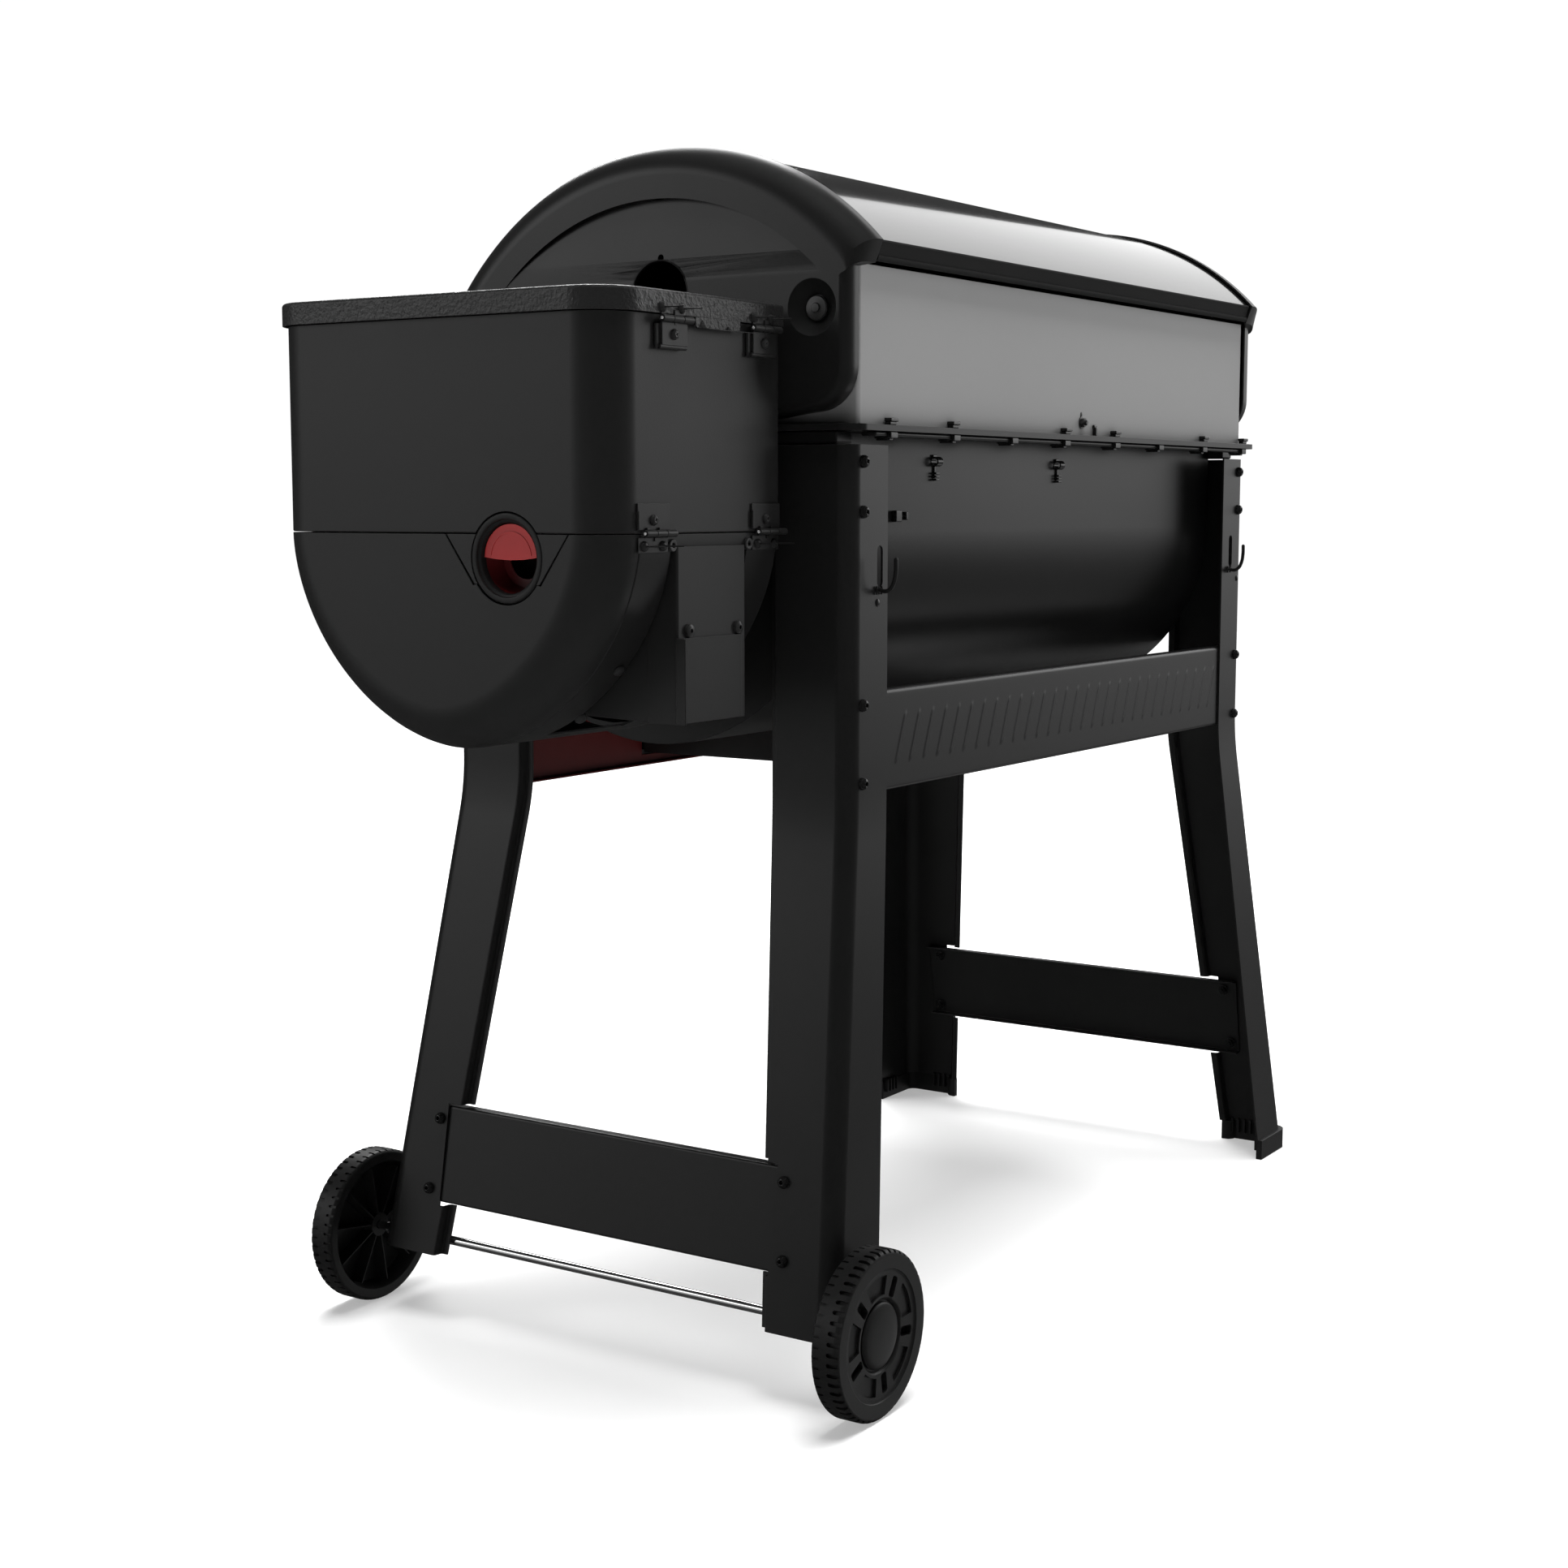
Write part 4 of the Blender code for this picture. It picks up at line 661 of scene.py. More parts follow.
def stand():
    for side_x, side in ((1, "right"), (-1, "left")):
        for side_y, end in ((1, "rear"), (-1, "front")):
            leg(f"leg_{end}_{side}", side_x, side_y)
        side_brace(f"side_brace_{side}", side_x)
        tool_hook(f"tool_hook_{side}", side_x)
    foot("foot_rear_left", 1)
    foot("foot_front_left", -1)
    rear_brace()
    front_brace()
    heads = []
    for side_x in (1, -1):
        for side_y in (1, -1):
            flange = LEG_FLANGE_Y if side_y > 0 else FRONT_IN - LEG_FLANGE_Y
            for z in (0.8990, 0.8515, 0.6673, 0.5916):
                heads.append((BUTTON, (side_x * 0.4588, flange, z), (0.0, side_y, 0.0), 0.3))
            for z, y in ((0.2120, 0.2175), (0.1382, 0.2239)):
                x = LEG_WEB_X + SPLAY_X * splay(z)
                heads.append((BUTTON, (side_x * x, side_y * y, z), (side_x, 0.0, 0.16), 0.2))
                inner = x - 2 * SHEET - 0.0024
                heads.append((NUT, (side_x * inner, side_y * y, z), (-side_x, 0.0, -0.16), 0.0))
    fasteners("stand_bolts", heads, BOLT_BLACK, "stand")


# ---------------------------------------------------------------- wheels
def wheel_shape():
    """The rear wheel, outer face towards +Y, with its tread, pockets and inner ribs."""
    centre = Vector((WHEEL_X, WHEEL_IN_Y, WHEEL_R))
    depth = WHEEL_OUT_Y - WHEEL_IN_Y
    outer = [(WHEEL_R - 0.0042, 0.0)]
    outer += arc((WHEEL_R - 0.0042, 0.0042), 0.0042, -math.pi / 2, 0.0, 6)[1:]
    outer += arc((WHEEL_R - 0.0052, depth - 0.0052), 0.0052, 0.0, math.pi / 2, 7)
    section = [
        (AXLE_R + GAP, 0.0236), (AXLE_R + GAP, 0.0040), (0.0125, 0.0040), (0.0130, 0.0180),
        (0.0150, 0.0195), (0.0630, 0.0195), (0.0650, 0.0180), (0.0690, 0.0012), (0.0700, 0.0),
        *outer,
        (0.0640, depth - 0.0002), (0.0632, depth - 0.0012), (0.0622, depth - 0.0014),
        (0.0610, depth - 0.0020), (0.0372, depth - 0.0020), (0.0352, depth - 0.0030),
        (0.0338, 0.0238), (0.0300, 0.0236),
    ]
    body = turned("wheel_rear_moulding", "Y", centre, section, steps=104)
    boolean(body, tread_grooves(centre, depth))
    made = bmesh.new()
    pocket = rounded_rectangle((-0.0048, 0.0048), (0.0375, 0.0575), (0.0026,) * 4, 5)
    for i in range(5):
        prism(made, centre, 2 * math.pi * i / 5 + math.radians(44), pocket, 0.0202, 0.0300)
    boolean(body, made_of("pockets", made))
    made = bmesh.new()
    wide, narrow, up = math.radians(19), math.radians(17), math.pi / 2
    fan = arc((0.0, 0.0), 0.0575, up - wide, up + wide, 12)
    fan += arc((0.0, 0.0), 0.0395, up + narrow, up - narrow, 8)
    for i in range(5):
        prism(made, centre, 2 * math.pi * i / 5 + math.radians(8), fan, depth - 0.0046, 0.0300)
    boolean(body, made_of("panels", made))
    ribs = bmesh.new()
    for i in range(10):
        bar(ribs, centre, 2 * math.pi * (i + 0.25) / 10, (0.0, 0.0120, 0.0385),
            (0.0013, 0.0155, 0.0530))
    return joined("wheel_rear_moulding", [body, made_of("ribs", ribs)])


def tread_grooves(centre, depth):
    """What is cut from the tread: grooves from both edges, half a step apart."""
    made = bmesh.new()
    lugs = 52
    for i in range(lugs):
        for edge in (0, 1):
            angle = 2 * math.pi * (i + 0.5 * edge) / lugs
            half, reach = (0.0020, 0.0100) if edge else (0.0013, 0.0080)
            end = depth + 0.001 if edge else -0.001
            into = depth - reach if edge else reach
            start = math.pi * edge
            outline = arc((0.0, into), half, start, start + math.pi, 8)
            outline += [(half, end), (-half, end)] if edge else [(-half, end), (half, end)]
            floor = WHEEL_R - (0.0032 if edge else 0.0018)
            turn = Matrix.Rotation(angle, 4, "Y")
            skin(made, [[centre + turn @ Vector((u, v, radius)) for u, v in outline]
                        for radius in (floor, WHEEL_R + 0.002)])
    return made_of("grooves", made)


def bar(made, centre, spin, place, size):
    """A small block turned round a centre with the Y axis as its shaft."""
    turn = Matrix.Rotation(spin, 4, "Y") @ Matrix.Translation(place) @ Matrix.Diagonal((*size, 1.0))
    bmesh.ops.create_cube(made, size=1.0, matrix=Matrix.Translation(centre) @ turn)


def prism(made, centre, spin, outline, low, high):
    """An outline in the wheel's plane, stood from low to high along its axis."""
    turn = Matrix.Rotation(spin, 4, "Y")
    skin(made, [[centre + turn @ Vector((u, y, v)) for u, v in outline] for y in (low, high)])


def running_gear():
    depth = WHEEL_OUT_Y - WHEEL_IN_Y
    cap_rings = [(0.0002, 0.0240), (0.0312, 0.0240), (0.0318, 0.0246), (0.0320, 0.0258),
                 (0.0314, 0.0268), (0.0300, 0.0276), (0.0260, 0.0284), (0.0180, 0.0289),
                 (0.0090, 0.0291), (0.0002, depth)]
    wheel = wheel_shape()
    wheels = {"rear": wheel, "front": mirrored(wheel, "wheel_front_moulding", "Y")}
    cap = turned("hub_cap_rear_dome", "Y", (WHEEL_X, WHEEL_IN_Y, WHEEL_R), cap_rings, closed=False)
    caps = {"rear": cap, "front": mirrored(cap, "hub_cap_front_dome", "Y")}
    for end, made in wheels.items():
        dress(made, PLASTIC, end + "_wheel", ["wheel_" + end], bevel=0.0,
              sharp=40.0)
    for end, made in caps.items():
        dress(made, PLASTIC, end + "_wheel", ["hub_cap_" + end], bevel=0.0)
    end = WHEEL_IN_Y + 0.0232
    rings = [(0.0002, end), (AXLE_R - 0.0008, end), (AXLE_R, end - 0.0010)]
    rings += [(AXLE_R - cut, y) for cut, y in
              ((0.0, 0.2936), (0.0006, 0.2932), (0.0006, 0.2908), (0.0, 0.2904))]
    rings = [(r, -y) for r, y in rings] + rings[::-1]
    axle = turned("axle_rod", "Y", (WHEEL_X, 0.0, WHEEL_R), rings, steps=48, closed=False)
    dress(axle, CHROME, "stand", ["wheel_axle"], bevel=0.0, sharp=40.0)


# ---------------------------------------------------------------- cook box and rim
def cook_box():
    top = RIM_Z[0] - GAP
    profile = [(BOX_Y + BOX_R, top), *arc((BOX_Y, BOX_Z), BOX_R, 0.0, -math.pi, 72),
               (BOX_Y - BOX_R, top)]
    rows = along("X", profile, (-BOX_END_X, BOX_END_X))
    trough = sheet("cook_box_trough", rows, caps=(0, 1), inward=False)
    near, far = BOX_END_X - 0.02, BOX_END_X + 0.02
    boolean(trough, cylinder("hole", "X", (0.0, 0.6880), near, far, 0.0244))
    boolean(trough, box("hole", (near, -0.0800, 0.7080), (far, -0.0560, 0.7320)))
    dress(trough, BOX_COAT, "stand", ["cook_box"], bevel=0.0008)
    rim()
    clips()


def rim():
    """The flange round the trough, with rails, clips and tabs."""
    low, high = RIM_Z
    outline = rounded_rectangle((-RIM_OUT_X, RIM_OUT_X), RIM_OUT_Y, (0.020,) * 4, 10)
    hole = rounded_rectangle((-RIM_IN_X, RIM_IN_X), RIM_IN_Y, (0.008,) * 4, 6)
    ring = plate("rim", "XY", [outline, hole], low, high)
    dress(ring, BOX_COAT, "stand", ["rim_flange"], bevel=0.0024, segments=4)
    nubs = [0.4192, 0.2952, 0.1703, 0.0476, -0.0792, -0.1985, -0.3269, -0.4498]
    tabs = (0.4117, 0.2888, 0.0362, -0.0894, -0.3410, -0.4649)
    edges = [0.4560, *nubs, -0.4640]
    blocks("rim_under_strip", BOX_COAT, "stand",
           [((b + 0.0075, 0.2440, 0.9232), (a - 0.0075, 0.2606, 0.9277), 0.0018)
            for a, b in zip(edges, edges[1:])])
    blocks("rim_side_rails", BOX_COAT, "stand",
           [((s * 0.4492, -0.2300, 0.9160), (s * 0.4782, 0.2350, 0.9276), 0.0020) for s in (1, -1)])
    parts = []
    for x in nubs:
        parts.append(((x - 0.0068, 0.2450, 0.9214), (x + 0.0068, 0.2640, 0.9276), 0.0010))
        parts.append(((x - 0.0040, 0.2450, 0.9196), (x + 0.0030, 0.2600, 0.9216), 0.0006))
    for x in tabs:
        parts.append(((x - 0.0062, 0.2520, 0.9345), (x + 0.0062, 0.2585, 0.9378), 0.0008))
        parts.append(((x - 0.0072, 0.2520, 0.9375), (x + 0.0072, 0.2600, 0.9412), 0.0008))
    blocks("rim_clips", BOLT_BLACK, "stand", parts)


def clips():
    """Small spring clips and a catch on the trough's back wall."""
    y = BOX_Y + BOX_R
    near = y + 0.0002
    ring = [(0.0034, -0.0050), (0.0050, -0.0050), (0.0050, 0.0050), (0.0034, 0.0050)]
    parts = [((0.3330, near, 0.8412), (0.3450, y + 0.0060, 0.8526), 0.0012),
             ((0.3190, near, 0.8430), (0.3235, y + 0.0050, 0.8512), 0.0009),
             ((0.3230, near, 0.8452), (0.3340, y + 0.0022, 0.8490), 0.0005)]
    eyes = []
    for x in (0.2607, -0.0175):
        eyes.append(turned("clip", "X", (x, y + 0.0040, 0.9020), ring, steps=32))
        parts.append(((x - 0.0034, near, 0.9060), (x + 0.0040, y + 0.0024, 0.9090), 0.0005))
        parts.append(((x - 0.0014, near, 0.8850), (x + 0.0008, y + 0.0020, 0.8980), 0.0004))
        for z in (0.8838, 0.8870, 0.8902):
            parts.append(((x - 0.0046, near, z - 0.0012), (x + 0.0030, y + 0.0052, z + 0.0010), 0.0005))
    blocks("trough_clips", BOLT_BLACK, "stand", parts, eyes)


def hood():
    """The grey back panel with its wings, a stud and slots above the rim."""
    bend = 0.0040
    left = [(-x, y) for x, y in arc((HOOD_X - bend, HOOD_Y - bend), bend, 0.0, math.pi / 2, 6)]
    right = [(-x, y) for x, y in reversed(left)]
    rows = []
    for z, wing in ((RIM_Z[1] + GAP, HOOD_SIDE_Y[0]), (HOOD_TOP, HOOD_SIDE_Y[1])):
        rows += along("Z", [(-HOOD_X, wing), *left, *right, (HOOD_X, wing)], [z])
    back = sheet("hood_panel", rows, THIN, inward=False)
    for side_x in (1, -1):
        boolean(back, cylinder("hole", "X", PIVOT, side_x * (HOOD_X - 0.01),
                               side_x * (HOOD_X + 0.01), PIVOT_R + GAP))
    slot = stadium(-0.0097, 0.9535, 0.9600, 0.0020)
    boolean(back, plate("slot", "XZ", [slot], HOOD_Y - 0.01, HOOD_Y + 0.01))
    dress(back, GREY_COAT, "stand", ["rear_hood"])
    near = HOOD_Y + 0.0002
    blocks("hood_clip", BOLT_BLACK, "stand",
           [((-0.0435, near, 0.9346), (-0.0390, HOOD_Y + 0.0042, 0.9440), 0.0010),
            ((-0.0450, near, 0.9425), (-0.0375, HOOD_Y + 0.0030, 0.9465), 0.0008)])
    fasteners("hood_stud", [(NUT, (-0.0097, HOOD_Y + 0.0001, 0.9483), BACK, 0.2)],
              DARK_STEEL, "stand")
    start = HOOD_X - 0.0060
    rings = [(0.0002, start), (PIVOT_R, start), (PIVOT_R, 0.4790), (0.0108, 0.4794),
             (0.0116, 0.4800), (0.0118, 0.4818), (0.0108, 0.4828), (0.0050, 0.4831),
             (0.0046, 0.4834), (0.0045, 0.4846), (0.0040, 0.4851), (0.0002, 0.4852)]
    pin = turned("lid_pivot_right_pin", "X", (0.0, *PIVOT), rings, steps=48, closed=False)
    for made, side in ((mirrored(pin, "lid_pivot_left_pin", "X"), "left"), (pin, "right")):
        dress(made, DARK_STEEL, "stand", [f"lid_pivot_{side}"], bevel=0.0, sharp=40.0)


# ---------------------------------------------------------------- lid
def cap_ring(x_arc, x_lobe, inset):
    """One round of the end cap's outside, from the lid's front edge over the arch and back."""
    centre = (LID_Y, LID_Z)
    tail = math.atan2(CAP_TIP[1] + 0.0194 - LID_Z, CAP_TIP[0] + 0.0069 - LID_Y)
    small = inset * 0.3
    front = math.pi - math.asin((LID_BOTTOM + small - LID_Z) / (LID_CAP_R - inset))
    points = [(x_arc, y, z) for y, z in arc(centre, LID_CAP_R - inset, front, tail, 60)]
    points[0] = (x_arc, points[0][1], LID_BOTTOM + small)
    points.append((x_arc, CAP_TIP[0] - small, CAP_TIP[1] - small))
    points.append((x_lobe, LOBE_Y - small, CAP_TIP[1] - 0.0040 - small))
    corner = (LOBE_Y - LOBE_R, LOBE_BOTTOM + LOBE_R)
    points += [(x_lobe, y, z) for y, z in arc(corner, LOBE_R - small, 0.0, -math.pi / 2, 14)]
    points.append((x_lobe, 0.1500, LID_BOTTOM + small))
    points.append((x_lobe, LID_Y, LID_BOTTOM + small))
    return points


def cap_shell(name):
    """The right end cap's pressed shell, open towards the grill."""
    rings = [cap_ring(CAP_IN_X, CAP_LOBE_IN_X, 0.0)]
    start = CAP_OUT_X - CAP_ROUND
    for turn in quarter(12):
        lobe_x = CAP_LOBE_IN_X + (CAP_OUT_X - CAP_LOBE_IN_X) * (0.25 + 0.75 * math.sin(turn))
        rings.append(cap_ring(start + CAP_ROUND * math.sin(turn), lobe_x,
                              CAP_ROUND * (1 - math.cos(turn))))
    rows = [[*ring, ring[0]] for ring in rings]
    return sheet(name, rows, caps=(len(rows) - 1,), inward=False)


def dish_wedge(name, clear):
    """What is pressed in from the cap's face: a round shallow panel that deepens upwards."""
    radius = 0.2717 + clear
    foot, top = 1.0730, 1.1541
    start = math.asin((foot - LID_Z) / radius)
    outline = arc((LID_Y, LID_Z), radius, math.pi - start, start, 64)
    face = CAP_OUT_X + (-0.0004 if clear else 0.02)
    floor = [(CAP_OUT_X - clear - 0.0080 * (z - foot) / (top - foot), y, z - clear)
             for y, z in outline]
    made = bmesh.new()
    skin(made, [floor, [(face, y, z - clear) for y, z in outline]])
    return made_of(name, made)


def end_caps():
    """The lid's pressed end caps, with a shallow panel, a cut-out, a slot and a washer dish."""
    shell = cap_shell("shell")
    boolean(shell, dish_wedge("wedge", 0.0))
    pressed = boolean(dish_wedge("pressed", SHEET), dish_wedge("wedge", 0.0))
    (y, z), hole_r = CAP_HOLE, CAP_HOLE_R
    for part in (shell, pressed):
        boolean(part, cylinder("cutout", "X", CAP_HOLE, 0.46, 0.50, hole_r, sides=72))
    slot = stadium(y, z + 0.0240, z + 0.0400, 0.0036)
    boolean(pressed, plate("slot", "YZ", [slot], 0.46, 0.50))
    boolean(shell, cylinder("dish", "X", PIVOT, 0.46, 0.50, 0.0270, sides=64))
    bore = PIVOT_R + GAP
    dish = turned("dish", "X", (0.0, *PIVOT), [
        (bore, 0.4766), (0.0150, 0.4766), (0.0286, 0.4884), (0.0284, 0.4898), (0.0272, 0.4902),
        (0.0264, 0.4900), (0.0128, 0.4792), (0.0123, 0.4788), (bore, 0.4788)], steps=64)
    cap = joined("lid_cap_right", [shell, pressed, dish])
    left = mirrored(cap, "lid_cap_left", "X")
    outer, face = hole_r + 0.0016, CAP_OUT_X
    rim_right = turned("ring", "X", (0.0, *CAP_HOLE), [
        (hole_r, face - 0.0040), (outer, face - 0.0040), (outer, face - 0.0002),
        (hole_r + 0.0006, face + 0.0003), (hole_r, face - 0.0004)], steps=72)
    rims = [rim_right, mirrored(rim_right, "ring", "X")]
    for made, side in ((cap, "right"), (left, "left")):
        dress(made, POWDER, "lid", [f"lid_end_cap_{side}"], bevel=0.0006)
    dress(joined("lid_cap_hole_rims", rims), POWDER, "lid", bevel=0.0)


def lid():
    """The enamelled arch, the band behind its crease with a rolled hem, and the handle."""
    centre = (LID_Y, LID_Z)
    front = math.pi - math.asin((LID_BOTTOM - LID_Z) / LID_SKIN_R)
    bow = arc(centre, LID_SKIN_R, front, LID_CREASE, 110)
    rows = along("X", bow, (-SKIN_X, SKIN_X))
    dress(sheet("lid_arch", rows, THIN, inward=False), ENAMEL, "lid", ["lid_skin"],
          bevel=0.0003)
    crease, edge = Vector(bow[-1]), Vector(LID_BAND)
    band = [crease + Vector((0.0003, -0.0003))]
    band += [crease.lerp(edge, part) for part in (0.02, 0.25, 0.5, 0.75, 0.93)]
    rows = along("X", band, (-SKIN_X, SKIN_X))
    dress(sheet("lid_band", rows, THIN, inward=False), BAND, "lid", bevel=0.0004)
    down = (edge - crease).normalized()
    out = Vector((-down.y, down.x))
    hem = [edge + down * far + out * lift for far, lift in
           ((-0.0062, 0.0003), (-0.0056, 0.0012), (-0.0040, 0.0017), (-0.0020, 0.0016),
            (-0.0005, 0.0008), (0.0002, -0.0006), (-0.0008, -0.0020), (-0.0030, -0.0026),
            (-0.0062, -0.0024))]
    dress(plate("lid_hem", "YZ", [hem], -SKIN_X, SKIN_X), BAND, "lid", bevel=0.0)
    handle()


def handle():
    """The bar, the same towards both ends, in two brackets."""
    half, groove = HANDLE_HALF, HANDLE_HALF - 0.016
    rings = [(0.0002, half), (HANDLE_R - 0.0030, half), (HANDLE_R - 0.0009, half - 0.0009),
             (HANDLE_R, half - 0.0030), (HANDLE_R, groove + 0.0012),
             (HANDLE_R - 0.0009, groove + 0.0006), (HANDLE_R - 0.0009, groove - 0.0006),
             (HANDLE_R, groove - 0.0012)]
    rings = [(r, -x) for r, x in rings] + rings[::-1]
    bar = turned("handle_bar", "X", (0.0, HANDLE_Y, HANDLE_Z), rings, steps=64, closed=False)
    dress(bar, BARE, "lid", ["lid_handle"], bevel=0.0, sharp=50.0)
    outline = [(-0.2730, 0.9840), (-0.2605, 1.0160), (-0.2800, 1.0176),
               *arc((HANDLE_Y, HANDLE_Z), HANDLE_R + 0.0050, math.radians(80), 1.5 * math.pi, 24)]
    for x, side in ((BRACKET_X, "right"), (-BRACKET_X, "left")):
        bracket = plate(f"handle_bracket_{side}_arm", "YZ", [outline], x - 0.0100, x + 0.0100)
        boolean(bracket, cylinder("bore", "X", (HANDLE_Y, HANDLE_Z), x - 0.02, x + 0.02,
                                  HANDLE_R + GAP, 64))
        boolean(bracket, box("relief", (x - 0.0060, -0.3000, 0.9700), (x + 0.0060, -0.2800, 1.0300)))
        dress(bracket, POWDER, "lid", [f"handle_bracket_{side}"], bevel=0.0014,
              segments=3)


# ---------------------------------------------------------------- hopper
def bin_outline(over=0.0, inset=0.0):
    """The hopper from above, with its outer corners rounded."""
    x = (HOP_IN_X - (over > 0) * 0.001 + inset, HOP_OUT_X + over - inset)
    y = (HOP_Y[0] - over + inset, HOP_Y[1] + over - inset)
    outer = HOP_CORNER_R + over - inset
    small = max(0.0015, 0.003 - inset)
    return rounded_rectangle(x, y, (small, outer, outer, small), 16)


def tube_rows(outline, levels):
    """A closed outline from above, repeated at heights."""
    return along("Z", [*outline, outline[0]], levels)


def bowl_profile(inset):
    """The shroud's section, a little squarer than an ellipse, moved in by an inset."""
    half, count = HOP_Y[1] - BOWL_Y, 72
    points = []
    for i in range(count + 1):
        angle = math.pi * i / count
        side = 1.0 if i <= count / 2 else -1.0
        across = abs(math.cos(angle)) if i != count / 2 else 0.0
        down = math.sin(angle) if 0 < i < count else 0.0
        slope = Vector((side * across ** (2 - 2 / BOWL_POWER) / half,
                        -(down ** (2 - 2 / BOWL_POWER)) / BOWL_DROP)).normalized()
        y = BOWL_Y + side * half * across ** (2 / BOWL_POWER) - inset * slope.x
        z = SEAM_Z - GAP - BOWL_DROP * down ** (2 / BOWL_POWER) - inset * slope.y
        points.append((y, z))
    return points


def hopper_bin():
    lip = 0.0012
    low = SEAM_Z + GAP
    rows = tube_rows(bin_outline(inset=0.0008), (low,))
    rows += tube_rows(bin_outline(), (low + lip, BIN_TOP))
    shell = sheet("bin_shell", rows, THIN)
    boolean(shell, cylinder("hole", "X", (PORT_Y, PORT_Z), HOP_OUT_X - 0.02, HOP_OUT_X + 0.02,
                            PORT_RING_R + 0.0009, 96))
    dress(shell, HOPPER_COAT, "stand", ["hopper_bin"], bevel=0.0004)


def hopper_lid():
    low, high = HOP_LID_Z
    over = HOP_LID_OVER
    soft = 0.0036
    rows = along("Z", bin_outline(over), (low, high - soft))
    for turn in quarter(6)[1:]:
        rows += along("Z", bin_outline(over, soft * (1 - math.cos(turn))),
                      [high - soft + soft * math.sin(turn)])
    made = bmesh.new()
    skin(made, rows, foot=False)
    pan = thickened(made_of("hopper_lid_pan", made, outward=False), THIN, even_offset=False)
    back = HOP_Y[1] + over
    tongue_outline = [(0.5905, 1.0226), (0.5905, 1.0156), (0.5925, 1.0136), (0.6575, 1.0136),
                      (0.6600, 1.0156), (0.6600, 1.0222), (0.6620, 1.0236), (0.5885, 1.0236)]
    tongue = plate("tongue", "XZ", [tongue_outline], back - 0.0020, back)
    ledge = sheet("ledge", [[(0.6560, back - 0.0010, 1.0144), (0.6330, back + 0.0040, 1.0134),
                             (0.6060, back + 0.0050, 1.0136), (0.5700, back + 0.0040, 1.0140)],
                            [(0.6560, back - 0.0014, 1.0146), (0.6330, back - 0.0016, 1.0146),
                             (0.6060, back - 0.0016, 1.0146), (0.5920, back - 0.0014, 1.0146)]],
                  0.0008)
    gussets = []
    for x, width, tall in ((0.6500, 0.0085, 0.0068), (0.6100, 0.0050, 0.0036)):
        made = bmesh.new()
        spots = [(x + width / 2, back + 0.0006, 1.0142), (x - width / 2, back + 0.0006, 1.0142),
                 (x - 0.0002, back + 0.0002, 1.0142 + tall), (x, back + 0.0050, 1.0132)]
        corners = [made.verts.new(spot) for spot in spots]
        for face in ((0, 1, 2), (0, 3, 1), (1, 3, 2), (2, 3, 0)):
            made.faces.new([corners[k] for k in face])
        gussets.append(made_of("gusset", made))
    dress(pan, TEXTURED, "hopper_cover", ["hopper_lid"], bevel=0.0004)
    dress(joined("hopper_lid_tongue", [tongue, ledge, *gussets]), TEXTURED, "hopper_cover",
          bevel=0.0002)


BARREL_HALF, BARREL_R = 0.0225, 0.0032


def barrel(x, pin):
    """A rolled hinge barrel: three knuckles and open ends."""
    end, cut, radius = BARREL_HALF, BARREL_HALF / 3, BARREL_R
    rings = [(0.0016, end - 0.0004), (0.0022, end), (radius - 0.0003, end), (radius, end - 0.0003),
             (radius, cut + 0.0006), (radius - 0.0006, cut + 0.0003),
             (radius - 0.0006, cut - 0.0003), (radius, cut - 0.0006)]
    made = bmesh.new()
    stamp(made, [(r, -t) for r, t in rings] + rings[::-1], aimed((x, *pin), (1.0, 0.0, 0.0)), 24)
    return made_of("barrel", made)


def pin_end(made, x, pin):
    """The light end of a hinge's pin."""
    end = BARREL_HALF
    stamp(made, [(0.0013, end - 0.0010), (0.0013, end + 0.0004), (0.0009, end + 0.0007)],
          aimed((x, *pin), (1.0, 0.0, 0.0)), 16)


def hinges():
    pins = bmesh.new()
    lid_hinges(pins)
    shroud_hinges(pins)


def lid_hinges(pins):
    """The hopper lid's hinges, with tabs and rivets on its skirt."""
    z, wall = LID_HINGE[1], HOP_Y[1]
    lid_back = wall + HOP_LID_OVER
    screws, rivets, tabs = [], [], []
    for index, x in enumerate(LID_HINGE_X):
        roll = cylinder("roll", "X", (wall + 0.0040, z - 0.0242), x - 0.0165, x + 0.0225, 0.0021, 24)
        blocks(f"hopper_lid_hinge_{index + 1}_leaf", HINGE_STEEL, "stand", [
            ((x - 0.0180, wall + 0.0034, z - 0.0230), (x + 0.0200, wall + 0.0058, z - 0.0030), 0.0005),
            ((x - 0.0150, wall + 0.0003, z - 0.0262), (x + 0.0255, wall + 0.0034, z - 0.0040), 0.0012),
            ((x - 0.0028, wall + 0.0040, z - 0.0052), (x + 0.0016, wall + 0.0062, z - 0.0016), 0.0003),
        ], [roll, barrel(x, LID_HINGE)], [f"hopper_lid_hinge_{index + 1}"])
        screws.append((PAN, (x + 0.0022, wall + 0.0057, 1.0056), BACK, 0.5))
        for side in (0.0195, -0.0085):
            rivets.append((rivet(0.0235), (x + side, lid_back + 0.0001, 1.0281), BACK, 0.0))
        for a, b in ((0.0215, 0.0150), (0.0020, -0.0120)):
            tabs.append(((x + b, lid_back + 0.0001, z + 0.0034),
                         (x + a, lid_back + 0.0011, z + 0.0078), 0.0003))
        pin_end(pins, x, LID_HINGE)
    fasteners("lid_hinge_screws", screws, DARK_STEEL, "stand")
    fasteners("lid_hinge_rivets", rivets, HINGE_STEEL, "hopper_cover")
    blocks("lid_hinge_tabs", HINGE_STEEL, "hopper_cover", tabs)


